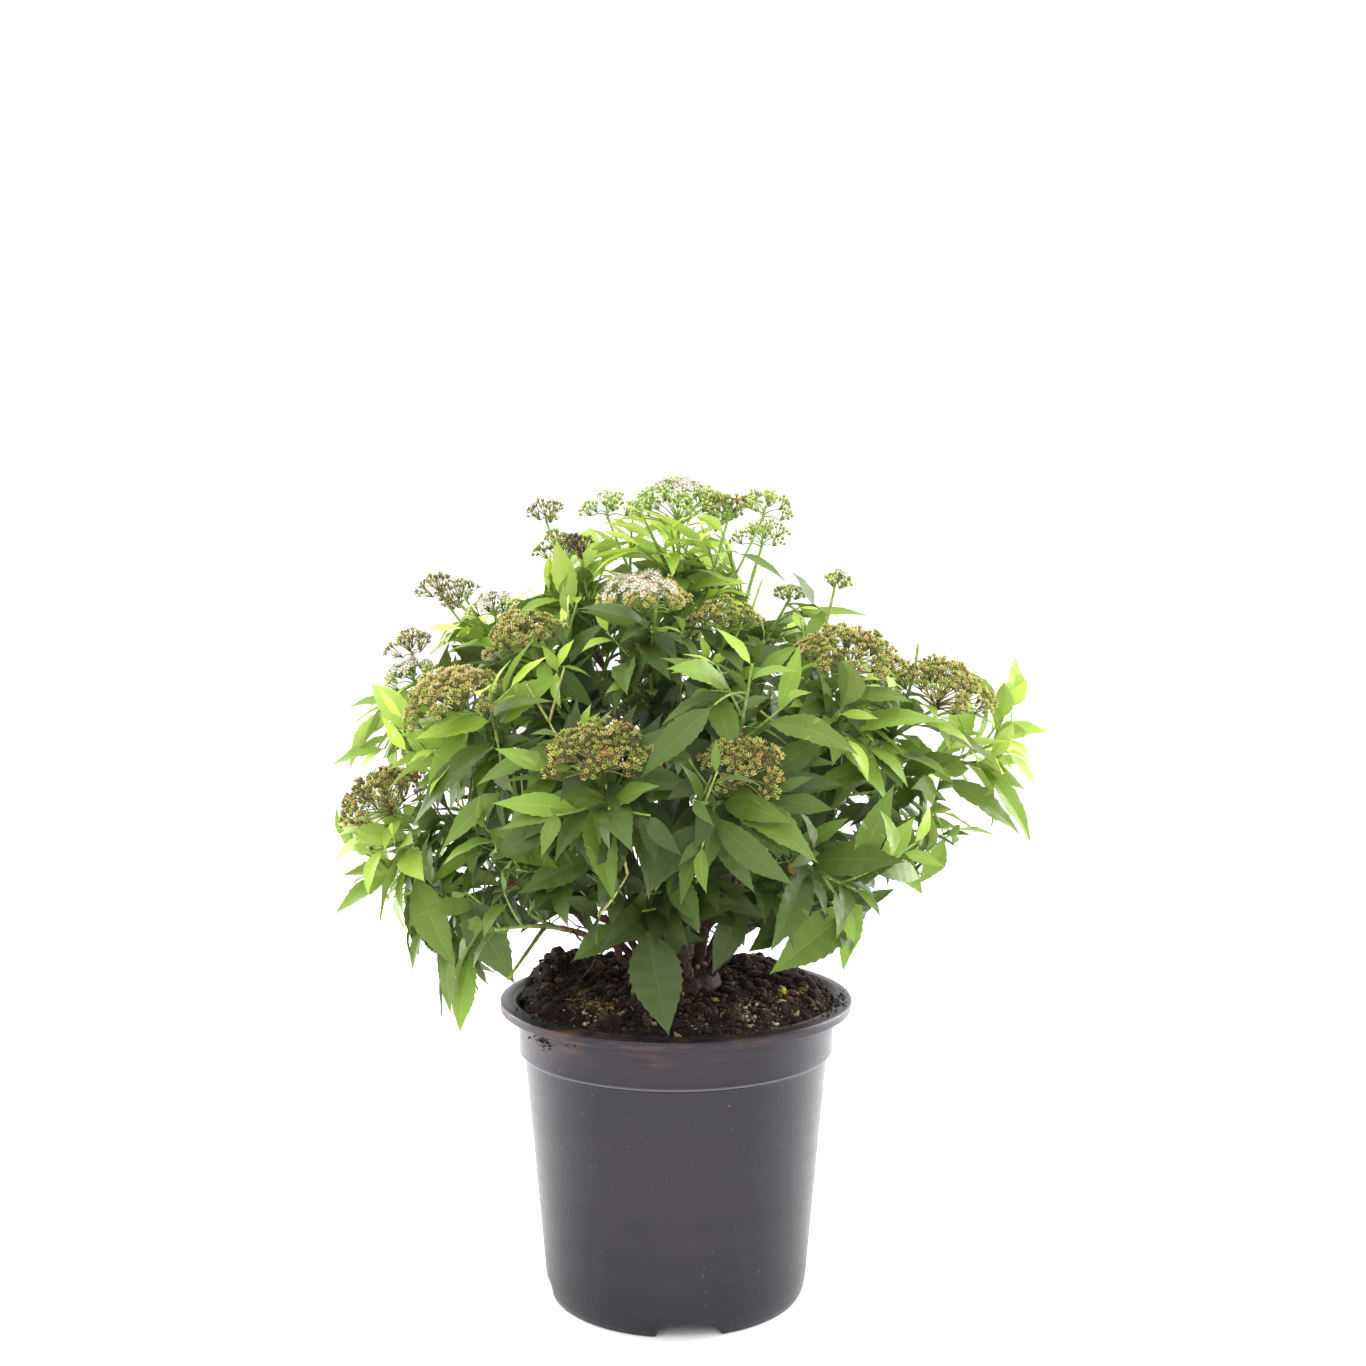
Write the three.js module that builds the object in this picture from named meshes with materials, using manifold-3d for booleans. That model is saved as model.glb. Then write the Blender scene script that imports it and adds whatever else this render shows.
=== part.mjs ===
// A potted spirea: thin woody stems rise from one root crown in a round plastic nursery pot, arch outwards, and
// end in leafy masses that carry flat-topped flower heads.
//
// Units are millimetres and +Z is up. The origin is the middle of the pot's underside, on its centre foot.
// +X is to the right and +Y is away from someone who stands in front of the plant.
// The plant's own group starts at ground level, which is the top of the soil over the pot's middle.

import * as THREE from "three";
import { mergeVertices } from "three/addons/utils/BufferGeometryUtils.js";
import Module from "manifold-3d";

const wasm = await Module();
wasm.setup();

const UP = new THREE.Vector3(0, 0, 1);
const TURN = 2 * Math.PI;
const GOLDEN_ANGLE = Math.PI * (3 - Math.sqrt(5)); // the turn from one leaf to the next on a spirea shoot
const GAP = 0.3; // left between two pieces that touch

// ---------------------------------------------------------------- driving dimensions

const POT = {
  height: 162,
  wall: 1.4,
  sides: 32,
  lipRadius: 95,
  lipHeight: 6,
  collarRadius: 85.8, // under the lip
  collarFootRadius: 84.8,
  collarFootHeight: 133.5,
  bodyTopRadius: 82,
  bodyTopHeight: 131.5,
  bodyFootRadius: 70.9,
  bodyFootHeight: 10,
  footRadius: 68.9,
  footWidth: 4,
  floorHeight: 6.5, // underside of the raised floor
  centreFootRadius: 14,
  notches: 4,
  notchWidth: 34,
  notchBearing: 5.5, // degrees from the front
};

const SOIL = {
  edgeHeight: 151, // where it meets the pot's wall
  shoulderRadius: 58,
  shoulderHeight: 159,
  topRadius: 30, // flat patch that the root crown stands on
  topHeight: 167,
  roughness: 2.2,
};

const ROOT_CROWN = { radius: 25, height: 13, topRadius: 17, sides: 14, stub: 7 };

const STEM = {
  footRadius: 2.1,
  tipRadius: 0.9,
  twigFootRadius: 1.15,
  twigTipRadius: 0.8,
  boughShare: 0.42, // the share of each stem that is bare bough; the rest is inside its mass
  boughSides: 5,
  twigSides: 3,
  clearance: 2.4, // between a stem and another mass's leaves and twigs
  stepLength: 28,
};

// The rings on the root crown that stems rise from, for stems whose tips stand at these slopes.
const STEM_RINGS = [
  { above: 0, below: 0.74, radius: 21, height: 8 },
  { above: 0.74, below: 1.5, radius: 15.5, height: 12 },
  { above: 1.5, below: Infinity, radius: 9, height: 15 },
];

const LEAF = {
  length: 60,
  shortest: 0.72, // share of the length that the smallest leaf has
  widthShare: 0.42,
  widestAt: 0.4,
  neckAt: 0.1, // where its midrib is thickest
  thickness: 0.02, // share of its length
  roll: 0.9, // radians either way
  sag: 0.06,
  fold: 0.1, // lift of the edges above the midrib, as a share of the width
  spacing: 9.6, // along a shoot
  clearance: 3.6, // between two leaves
  // Where there is no room a leaf is turned on by these shares of the golden angle, and made smaller.
  tries: [[0, 1], [0.4, 1], [-0.4, 1], [0.8, 0.9], [-0.8, 0.9], [1.2, 0.8], [-1.2, 0.7]],
};

// Side shoots branch off between two shares of the leading shoot's length.
const SHOOT = {
  shortest: 54,
  longest: 80,
  firstAt: 0.14,
  lastAt: 0.84,
  lift: 0.12, // rise of its tip, as a share of its length
  tipRoom: 16, // kept free past its tip for a last leaf or a head
  tries: [1, 0.85, 0.7, 0.55, 0.4], // shares of its length, where there is no room for all of it
  headShare: 0.65, // share of the side shoots that try to end in a flower head
};

const HEAD = { depth: 0.6, sunk: 3, topRadius: 0.72, topAt: 0.26, crownAt: 0.36, notch: 0.84, sides: 8 };

// One row for each mass of foliage. The numbers are its bearing in degrees from the front, positive to the
// right, how far from the axis and how high above ground level its leading shoot ends, the radius of the flower
// head there, or 0 for a leafy tip, and how many side shoots it tries to grow.
const MASSES = [
  ["front_left", -13, 148, 147, 24, 4],
  ["front_right", 12, 148, 140, 20, 4],
  ["left_front", -50, 138, 168, 24, 3],
  ["left_low", -72, 152, 114, 24, 3],
  ["left", -93, 141, 171, 15, 3],
  ["left_spire", -103, 122, 212, 12, 2],
  ["shoulder_left", -50, 96, 196, 20, 3],
  ["top_left", -112, 68, 240, 13, 3],
  ["top_front", -14, 66, 214, 22, 3],
  ["top", 10, 8, 262, 27, 4],
  ["top_right", 22, 68, 203, 17, 3],
  ["top_back", 135, 68, 246, 15, 3],
  ["shoulder_right", 54, 106, 186, 26, 3],
  ["right", 76, 139, 168, 26, 4],
  ["right_tip", 90, 176, 132, 0, 3],
  ["back_right", 124, 136, 150, 23, 3],
  ["back", 170, 140, 148, 25, 4],
  ["back_left", -146, 140, 166, 23, 3],
  ["shoulder_back", -168, 88, 216, 21, 3],
  ["front_middle_left", -26, 126, 92, 0, 4],
  ["front_middle_right", 30, 126, 94, 0, 4],
  ["skirt_front_left", -42, 130, 50, 0, 3],
  ["skirt_front", 0, 114, 80, 0, 4],
  ["skirt_front_right", 44, 112, 60, 0, 4],
  ["skirt_left", -84, 146, 74, 0, 3],
  ["skirt_right", 80, 142, 98, 0, 3],
  ["skirt_back_right", 150, 128, 66, 0, 4],
  ["skirt_back_left", -144, 130, 62, 0, 4],
];

// The crown as a whole, measured from ground level. No leaf or twig goes past this ellipsoid, over the slope
// that takes off its right shoulder, or under the skirt, which rises outwards and hangs lower on the left.
const CROWN = {
  centre: new THREE.Vector3(8, 0, 92),
  radii: new THREE.Vector3(193, 188, 184),
  shoulder: new THREE.Plane(new THREE.Vector3(-0.57, 0, -0.82), 248),
  skirtReach: 112,
  skirtSkew: 30,
  skirtSlope: 0.85,
};

// ---------------------------------------------------------------- solids

// A three.js geometry as a manifold-3d solid, with its shared vertices merged.
function solid(geometry) {
  const bare = new THREE.BufferGeometry().setAttribute("position", geometry.getAttribute("position"));
  if (geometry.index) bare.setIndex(geometry.index);
  const merged = mergeVertices(bare, 1e-4);
  const corners = [];
  for (let i = 0; i < merged.index.count; i += 3) {
    const [a, b, c] = [0, 1, 2].map((k) => merged.index.getX(i + k));
    if (a !== b && b !== c && c !== a) corners.push(a, b, c);
  }
  return new wasm.Manifold(
    new wasm.Mesh({
      numProp: 3,
      vertProperties: merged.attributes.position.array,
      triVerts: new Uint32Array(corners),
    }),
  );
}

function geometryOf(manifold) {
  const { vertProperties, triVerts } = manifold.getMesh();
  const geometry = new THREE.BufferGeometry();
  geometry.setAttribute("position", new THREE.BufferAttribute(vertProperties, 3));
  geometry.setIndex(new THREE.BufferAttribute(triVerts, 1));
  geometry.computeVertexNormals();
  return geometry;
}

function joined(geometries) {
  return geometries.map(solid).reduce((whole, piece) => whole.add(piece));
}

// A closed profile of [radius, height] turned about the Z axis.
function revolved(profile, sides) {
  const points = profile.map(([r, z]) => new THREE.Vector2(r, z));
  return new THREE.LatheGeometry(points, sides).rotateX(Math.PI / 2);
}

function mesh(name, geometry, material, at = new THREE.Vector3()) {
  const made = new THREE.Mesh(geometry.translate(-at.x, -at.y, -at.z), material);
  made.name = name;
  made.position.copy(at);
  return made;
}

// Random numbers from 0 to 1 that are the same on every run.
function seeded(seed) {
  let state = (seed * 7919 + 104729) % 2147483647;
  return () => {
    state = (state * 48271) % 2147483647;
    return state / 2147483647;
  };
}

// ---------------------------------------------------------------- materials

const plastic = new THREE.MeshStandardMaterial({ color: 0x4b494f, roughness: 0.42, metalness: 0 });
const compost = new THREE.MeshStandardMaterial({ color: 0x2a1f1b, roughness: 0.95, metalness: 0 });
const bark = new THREE.MeshStandardMaterial({ color: 0x5a3d30, roughness: 0.8, metalness: 0 });
const foliage = new THREE.MeshStandardMaterial({ color: 0x4f7a33, roughness: 0.6, metalness: 0 });

// ---------------------------------------------------------------- pot and soil

// Inner wall of the pot, from the floor to the lip, drawn in by a clearance.
function innerWall(clearance) {
  const inset = POT.wall + clearance;
  return [
    [POT.bodyFootRadius - inset, POT.bodyFootHeight],
    [POT.bodyTopRadius - inset, POT.bodyTopHeight],
    [POT.collarFootRadius - inset, POT.collarFootHeight],
  ];
}

function makePot() {
  const floorTop = POT.floorHeight + POT.wall;
  const lipFoot = POT.height - POT.lipHeight;
  const flangeFoot = POT.height - POT.wall;
  const profile = [
    [0, 0],
    [POT.centreFootRadius, 0],
    [POT.centreFootRadius + 2, POT.floorHeight],
    [POT.footRadius - POT.footWidth - 1, POT.floorHeight],
    [POT.footRadius - POT.footWidth, 0],
    [POT.footRadius, 0],
    [POT.bodyFootRadius, POT.bodyFootHeight],
    [POT.bodyTopRadius, POT.bodyTopHeight],
    [POT.collarFootRadius, POT.collarFootHeight],
    [POT.collarRadius, flangeFoot],
    [POT.lipRadius - POT.wall, flangeFoot],
    [POT.lipRadius - POT.wall, lipFoot],
    [POT.lipRadius, lipFoot],
    [POT.lipRadius, flangeFoot + 0.4],
    [POT.lipRadius - 2, POT.height],
    [POT.collarRadius + 1, POT.height],
    [POT.collarRadius - POT.wall, flangeFoot],
    ...innerWall(0).reverse(),
    [POT.footRadius - 2 * POT.wall, floorTop],
    [0, floorTop],
  ];
  const shell = solid(revolved(profile, POT.sides));
  // The foot ring is cut through at each notch, so that water can drain from under the floor.
  const notch = new THREE.BoxGeometry(POT.notchWidth, 2 * POT.footWidth + 6, 2 * (POT.floorHeight - 0.2));
  const cuts = Array.from({ length: POT.notches }, (_, i) => {
    const bearing = THREE.MathUtils.degToRad(POT.notchBearing) + (i * TURN) / POT.notches;
    return notch.clone().translate(0, -(POT.footRadius - 1), 0).rotateZ(bearing);
  });
  return mesh("pot", geometryOf(shell.subtract(joined(cuts))), plastic);
}

// The compost fills the pot, is a little uneven, and rises to a flat patch in the middle.
function makeSoil() {
  const wall = innerWall(GAP);
  const edge = THREE.MathUtils.mapLinear(
    SOIL.edgeHeight,
    POT.collarFootHeight,
    POT.height,
    wall[2][0],
    POT.collarRadius - POT.wall - GAP,
  );
  const profile = [
    [0, POT.floorHeight + POT.wall + GAP],
    [POT.footRadius - 2 * POT.wall - GAP - 0.5, POT.floorHeight + POT.wall + GAP],
    ...wall,
    [edge, SOIL.edgeHeight],
    [SOIL.shoulderRadius, SOIL.shoulderHeight],
    [SOIL.topRadius, SOIL.topHeight],
    [0, SOIL.topHeight],
  ];
  const geometry = revolved(profile, POT.sides);
  const random = seeded(3);
  const bumps = Array.from({ length: POT.sides }, () => (random() - 0.5) * 2 * SOIL.roughness);
  const place = geometry.getAttribute("position");
  for (let i = 0; i < place.count; i++) {
    const radius = Math.hypot(place.getX(i), place.getY(i));
    if (Math.abs(radius - SOIL.shoulderRadius) > 1 || place.getZ(i) < SOIL.edgeHeight) continue;
    const side = Math.round((Math.atan2(place.getY(i), place.getX(i)) / TURN + 1) * POT.sides) % POT.sides;
    place.setZ(i, place.getZ(i) + bumps[side]);
  }
  return mesh("soil", geometryOf(solid(geometry)), compost);
}

// ---------------------------------------------------------------- stems

// A point at a bearing from the front, a distance from the axis, and a height above ground level.
function around(bearing, reach, height) {
  return new THREE.Vector3(reach * Math.sin(bearing), -reach * Math.cos(bearing), height);
}

// Every mass with its whole stem: a curve that leaves the root crown steeply and arches out to the mass's tip.
// Low, middling and steep stems each leave the crown from a ring of their own, in the order of their bearings,
// so that no two cross.
function planStems() {
  const plants = MASSES.map(([name, bearing, reach, height, head, shoots], number) => ({
    name,
    number,
    bearing: THREE.MathUtils.degToRad(bearing),
    slope: height / reach,
    tip: around(THREE.MathUtils.degToRad(bearing), reach, height - headDepth(head)),
    head,
    shoots,
  }));
  for (const { above, below, radius, height } of STEM_RINGS) {
    const ring = plants.filter(({ slope }) => slope > above && slope <= below);
    ring.sort((a, b) => a.bearing - b.bearing);
    const spacing = TURN / ring.length;
    const turn = ring.reduce((sum, p, i) => sum + p.bearing - i * spacing, 0) / ring.length;
    ring.forEach((p, i) => {
      p.foot = around(turn + i * spacing, radius, height);
      const out = p.tip.clone().sub(p.foot);
      const bend = p.foot.clone().add(new THREE.Vector3(out.x * 0.42, out.y * 0.42, out.z * 0.62 + 14));
      p.curve = new THREE.QuadraticBezierCurve3(p.foot, bend, p.tip);
      p.length = p.curve.getLength();
      p.heart = p.curve.getPointAt(0.86); // the middle of the space that the mass keeps to
    });
  }
  return plants;
}

const stemRadius = (share) => STEM.footRadius + (STEM.tipRadius - STEM.footRadius) * share;

// Part of a curve as straight steps of about one length, so that a limb, its branches and its leaves share one
// line.
function stepped(curve, from = 0, to = 1) {
  const steps = Math.max(1, Math.round((curve.getLength() * (to - from)) / STEM.stepLength));
  const path = new THREE.CurvePath();
  const at = (i) => curve.getPointAt(from + ((to - from) * i) / steps);
  for (let i = 0; i < steps; i++) path.add(new THREE.LineCurve3(at(i), at(i + 1)));
  return path;
}

// The joints of a stepped path, and at each the way that the path goes there.
function jointsOf(path) {
  const points = [path.curves[0].v1, ...path.curves.map((line) => line.v2)];
  const ways = points.map((point, i) => {
    const before = points[i - 1] ?? point;
    const after = points[i + 1] ?? point;
    return after.clone().sub(before).normalize();
  });
  return { points, ways };
}

// A tapering limb along a stepped path: a cylinder whose rings are set square to the path at its joints.
function limb(path, footRadius, tipRadius, sides) {
  const { points, ways } = jointsOf(path);
  const steps = points.length - 1;
  const across = [new THREE.Vector3(1, 0.3, 0.2)];
  ways.forEach((way, i) => {
    const before = across[Math.max(i - 1, 0)];
    across[i] = before.clone().addScaledVector(way, -before.dot(way)).normalize();
  });
  const shape = new THREE.CylinderGeometry(tipRadius, footRadius, 1, sides, steps);
  const place = shape.getAttribute("position");
  for (let i = 0; i < place.count; i++) {
    const step = Math.round((place.getY(i) + 0.5) * steps);
    const other = new THREE.Vector3().crossVectors(ways[step], across[step]);
    const point = points[step].clone();
    point.addScaledVector(across[step], place.getX(i)).addScaledVector(other, -place.getZ(i));
    place.setXYZ(i, point.x, point.y, point.z);
  }
  return shape;
}

// The woody knot at the foot of the stems, with its root flare, a flat cut at ground level, and a stub for each
// stem.
function makeRootCrown(plants) {
  const { radius, height, topRadius, sides } = ROOT_CROWN;
  const profile = [
    [0, GAP],
    [radius, GAP],
    [topRadius + 3, 0.45 * height],
    [topRadius, 0.8 * height],
    [0.55 * topRadius, height],
    [0, height],
  ];
  const knot = revolved(profile, sides);
  const random = seeded(5);
  const flare = Array.from({ length: sides }, () => 0.86 + 0.22 * random());
  const place = knot.getAttribute("position");
  for (let i = 0; i < place.count; i++) {
    const side = Math.round((Math.atan2(place.getY(i), place.getX(i)) / TURN + 1) * sides) % sides;
    place.setXY(i, place.getX(i) * flare[side], place.getY(i) * flare[side]);
  }
  const stubs = plants.map((p) => {
    const out = p.curve.getTangentAt(0);
    const root = p.foot.clone().addScaledVector(out, -ROOT_CROWN.stub);
    root.z = Math.max(root.z, STEM.footRadius + 2 * GAP);
    const stub = stepped(new THREE.LineCurve3(root, p.foot));
    return limb(stub, STEM.footRadius * 1.25, STEM.footRadius, STEM.boughSides);
  });
  return mesh("root_crown", geometryOf(joined([knot, ...stubs])), bark);
}

function makeBough(plant) {
  const start = GAP / plant.length;
  const path = stepped(plant.curve, start, STEM.boughShare);
  const shape = limb(path, stemRadius(0), stemRadius(STEM.boughShare), STEM.boughSides);
  return mesh("bough_" + plant.name, geometryOf(solid(shape)), bark, plant.foot);
}

// ---------------------------------------------------------------- space for each mass

// Every stem as short straight pieces, so that leaves can keep clear of them. A mass needn't keep clear of the
// part of its stem that is inside it.
function stemPieces(plants) {
  const count = 14;
  return plants.flatMap((p) =>
    Array.from({ length: count }, (_, i) => ({
      mass: i / count > STEM.boughShare ? p.number : -1,
      line: new THREE.Line3(p.curve.getPointAt(i / count), p.curve.getPointAt((i + 1) / count)),
      radius: stemRadius(i / count),
    })),
  );
}

// Distance from a point to the plane half way between two masses, positive on the first one's side.
function margin(point, mine, other) {
  const apart = other.clone().sub(mine);
  const middle = other.clone().add(mine).multiplyScalar(0.5);
  return -point.clone().sub(middle).dot(apart) / apart.length();
}

function groundHeight(reach) {
  const { topRadius, shoulderRadius, topHeight, shoulderHeight, roughness } = SOIL;
  if (reach > POT.lipRadius + 3) return -40;
  if (reach > POT.collarRadius - 5) return POT.height - topHeight;
  if (reach < topRadius) return 0;
  const slope = (shoulderHeight - topHeight) / (shoulderRadius - topRadius);
  return Math.min(0, (reach - topRadius) * slope) + roughness;
}

// Whether a point is in a mass's own space: inside the crown, and nearer to this mass than to any other.
function inSpace(point, plant, plants, clear) {
  return inCrown(point) && plants.every((p) => p === plant || margin(point, plant.heart, p.heart) > clear);
}

function inCrown(point) {
  const { centre, radii, shoulder, skirtReach, skirtSkew, skirtSlope } = CROWN;
  const reach = Math.hypot(point.x, point.y);
  const skirt = skirtSlope * (reach - skirtReach + (skirtSkew * point.x) / Math.max(reach, 1));
  if (point.z < Math.max(groundHeight(reach) + 2, skirt)) return false;
  return shoulder.distanceToPoint(point) > 0 && point.clone().sub(centre).divide(radii).length() < 1;
}

function clearOfStems(points, radius, plant, pieces) {
  const nearest = new THREE.Vector3();
  return pieces.every(
    (piece) =>
      piece.mass === plant.number ||
      points.every((point) => {
        piece.line.closestPointToPoint(point, true, nearest);
        return nearest.distanceTo(point) > piece.radius + radius;
      }),
  );
}

// ---------------------------------------------------------------- twigs, leaves and flower heads

const headDepth = (radius) => HEAD.depth * radius;

// A leaf's own axes: along its midrib, across it, and out of its upper side. That looks outwards and up, rolled
// about the midrib.
function leafAxes(along, outward, roll) {
  const face = outward.clone().addScaledVector(UP, 0.55);
  const across = new THREE.Vector3().crossVectors(face, along).normalize().applyAxisAngle(along, roll);
  const upper = new THREE.Vector3().crossVectors(along, across);
  return { along, across, upper };
}

function leafPoint(leaf, u, v, w) {
  const point = leaf.root.clone().addScaledVector(leaf.along, u * leaf.length);
  return point.addScaledVector(leaf.across, v * leaf.width * 0.5).addScaledVector(leaf.upper, w);
}

// A leaf has six faces: the poles of a three-sided ball are its edges, and the corners between them are its
// root, its tip, and the thick start of its midrib.
function leafShape(leaf) {
  const shape = new THREE.SphereGeometry(1, 3, 2);
  const place = shape.getAttribute("position");
  for (let i = 0; i < place.count; i++) {
    const [x, y, z] = [place.getX(i), place.getY(i), place.getZ(i)];
    let corner = leafPoint(leaf, 0, 0, 0);
    if (Math.abs(y) > 0.9) corner = leafPoint(leaf, LEAF.widestAt, -Math.sign(y), LEAF.fold * leaf.width);
    else if (z > 0.5) corner = leafPoint(leaf, 1, 0, -LEAF.sag * leaf.length);
    else if (z < -0.5) corner = leafPoint(leaf, LEAF.neckAt, 0, LEAF.thickness * leaf.length);
    place.setXYZ(i, corner.x, corner.y, corner.z);
  }
  return shape;
}

// Points all over a leaf beyond its root, a few millimetres apart.
function leafPoints(leaf) {
  const points = [];
  const rows = 10;
  for (let i = 2; i <= rows; i++) {
    const u = i / rows;
    const half = u < LEAF.widestAt ? u / LEAF.widestAt : (1 - u) / (1 - LEAF.widestAt);
    const sag = LEAF.sag * leaf.length * u * u;
    for (const v of i === rows ? [0] : [-1, -0.5, 0, 0.5, 1]) {
      points.push(leafPoint(leaf, u, v * half, LEAF.fold * leaf.width * Math.abs(v) * half - sag));
    }
  }
  return points;
}

// A flat-topped flower head: a cone of stalks under a low dome with a notched edge.
function headShape(head) {
  const { radius } = head;
  const profile = [
    [0, -headDepth(radius) - HEAD.sunk],
    [radius, 0],
    [HEAD.topRadius * radius, HEAD.topAt * radius],
    [0, HEAD.crownAt * radius],
  ];
  const shape = revolved(profile, HEAD.sides);
  const place = shape.getAttribute("position");
  for (let i = 0; i < place.count; i++) {
    const side = Math.round((Math.atan2(place.getY(i), place.getX(i)) / TURN + 1) * HEAD.sides);
    const share = side % 2 ? HEAD.notch : 1;
    place.setXY(i, place.getX(i) * share, place.getY(i) * share);
  }
  const tilt = new THREE.Quaternion().setFromUnitVectors(UP, head.axis);
  return shape.applyQuaternion(tilt).translate(head.centre.x, head.centre.y, head.centre.z);
}

// The crown's own outward direction at a point.
function outwardAt(point) {
  const out = point.clone().sub(CROWN.centre).divide(CROWN.radii);
  out.z = Math.max(out.z, -0.15) + 0.1;
  return out.normalize();
}

// The side shoots of a mass branch from its leading shoot by the golden angle and curve upwards. One that would
// leave the mass's space or touch another stem is made shorter, and left out if that doesn't help.
function growShoots(plant, lead, fits) {
  const random = seeded(100 * (plant.number + 1));
  const turn = TURN * random();
  const shoots = [];
  for (let i = 0; i < plant.shoots; i++) {
    const length = SHOOT.shortest + (SHOOT.longest - SHOOT.shortest) * random();
    const head = random() < SHOOT.headShare ? plant.head * (0.5 + 0.2 * random()) : 0;
    const at = SHOOT.firstAt + ((SHOOT.lastAt - SHOOT.firstAt) * (i + 0.5)) / plant.shoots;
    const root = lead.path.getPoint(at);
    const tangent = lead.path.getTangent(at);
    const way = awayFrom(tangent, turn + i * GOLDEN_ANGLE).addScaledVector(tangent, 0.7);
    way.addScaledVector(outwardAt(root), 0.45).normalize();
    for (const share of SHOOT.tries) {
      const tip = root.clone().addScaledVector(way, share * length).addScaledVector(UP, SHOOT.lift * length);
      const bend = root.clone().addScaledVector(way, 0.5 * share * length);
      bend.addScaledVector(tangent, 0.06 * length);
      const path = stepped(new THREE.QuadraticBezierCurve3(root, bend, tip));
      const beyond = tip.clone().addScaledVector(way, SHOOT.tipRoom);
      if (!fits([...jointsOf(path).points, beyond], 2)) continue;
      shoots.push({ path, head });
      break;
    }
  }
  return shoots;
}

// A direction square to a tangent, turned about it from the level.
function awayFrom(tangent, angle) {
  return new THREE.Vector3().crossVectors(tangent, UP).normalize().applyAxisAngle(tangent, angle);
}

// A head sits on the end of a shoot, tilted a little outwards. A side shoot that has no room for one ends in
// leaves.
function growHeads(twigs, fits) {
  const heads = [];
  for (const twig of twigs.filter(({ head }) => head > 0)) {
    const radius = twig.head;
    const tip = twig.path.getPoint(1);
    const axis = UP.clone().addScaledVector(outwardAt(tip), 0.5).normalize();
    const centre = tip.clone().addScaledVector(axis, headDepth(radius));
    const rim = [0, 1, 2, 3, 4, 5, 6, 7].map((i) => around((i * TURN) / 8, radius, 0).add(centre));
    const apart = heads.every((h) => h.centre.distanceTo(centre) > h.radius + radius);
    if (twig === twigs[0] || (apart && fits(rim, 0.5))) heads.push({ centre, axis, radius });
    else twig.head = 0;
  }
  return heads;
}

// Leaves stand along a shoot by the golden angle. One that has no room is turned on a few times, and then left
// out.
function growLeaves(twig, seed, heads, leaves, fits) {
  const random = seeded(seed);
  const length = twig.path.getLength();
  const turn = TURN * random();
  const first = 8;
  const last = length - (twig.head > 0 ? 12 : 3);
  const count = Math.max(1, Math.round((last - first) / LEAF.spacing));
  for (let i = 0; i <= count; i++) {
    const young = i > count - 2;
    const lean = young && twig.head === 0 ? 1 : 0.4;
    const size = LEAF.length * (LEAF.shortest + (1 - LEAF.shortest) * random()) * (young ? 0.8 : 1);
    const droop = 0.05 + 0.4 * random();
    const roll = LEAF.roll * (2 * random() - 1);
    const way = (first + ((last - first) * i) / count) / length;
    const root = twig.path.getPoint(way);
    const tangent = twig.path.getTangent(way);
    const outward = outwardAt(root);
    for (const [shift, share] of LEAF.tries) {
      const along = awayFrom(tangent, turn + (i + shift) * GOLDEN_ANGLE).addScaledVector(tangent, lean);
      along.addScaledVector(outward, 0.4).addScaledVector(UP, -droop).normalize();
      const leaf = { root, length: share * size, width: LEAF.widthShare * size };
      Object.assign(leaf, leafAxes(along, outward, roll));
      leaf.points = leafPoints(leaf);
      const blocked = heads.some((head) => inHead(leaf, head)) || leaves.some((other) => crosses(leaf, other));
      if (blocked || !fits(leaf.points, 0.5)) continue;
      leaves.push(leaf);
      break;
    }
  }
}

function inHead(leaf, head) {
  return leaf.points.some((point) => point.distanceTo(head.centre) < 0.8 * head.radius);
}

function crosses(leaf, other) {
  if (leaf.root.distanceTo(other.root) > leaf.length + other.length) return false;
  return leaf.points.some((a) => other.points.some((b) => a.distanceToSquared(b) < LEAF.clearance ** 2));
}

// Grows one mass: its leading shoot goes on from the bough, side shoots branch from that, and all of them carry
// leaves and flower heads.
function growMass(plant, plants, pieces) {
  const fits = (points, clear) => {
    const inside = points.every((point) => inSpace(point, plant, plants, clear));
    return inside && clearOfStems(points, STEM.clearance, plant, pieces);
  };
  const lead = { path: stepped(plant.curve, STEM.boughShare + GAP / plant.length), head: plant.head };
  const twigs = [lead, ...growShoots(plant, lead, fits)];
  const heads = growHeads(twigs, fits);
  const leaves = [];
  twigs.forEach((twig, i) => growLeaves(twig, 100 * (plant.number + 1) + i + 1, heads, leaves, fits));
  return { twigs, heads, leaves };
}

function makeMass(plant, plants, pieces) {
  const { twigs, heads, leaves } = growMass(plant, plants, pieces);
  const shapes = twigs.map(({ path }, i) => {
    const foot = i === 0 ? stemRadius(STEM.boughShare) : STEM.twigFootRadius;
    return limb(path, foot, STEM.twigTipRadius, STEM.twigSides);
  });
  shapes.push(...heads.map(headShape), ...leaves.map(leafShape));
  const start = plant.curve.getPointAt(STEM.boughShare);
  return mesh("mass_" + plant.name, geometryOf(joined(shapes)), foliage, start);
}

// ---------------------------------------------------------------- the whole plant

const container = new THREE.Group();
container.add(makePot(), makeSoil());

const plants = planStems();
const pieces = stemPieces(plants);
const shrub = new THREE.Group();
shrub.position.z = SOIL.topHeight;
shrub.add(makeRootCrown(plants));
for (const plant of plants) shrub.add(makeBough(plant), makeMass(plant, plants, pieces));

const spirea = new THREE.Group();
spirea.add(container, shrub);

export default spirea;
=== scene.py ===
# %% [markdown]
# # A spirea in its nursery pot
#
# A spirea is a small garden shrub: a clump of thin woody stems, pointed leaves with toothed edges, and flat
# heads of tiny flowers on the tips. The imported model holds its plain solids, and this lesson gives each of
# them its finished surface. It starts with the frame, because everything is placed by it.

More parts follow.
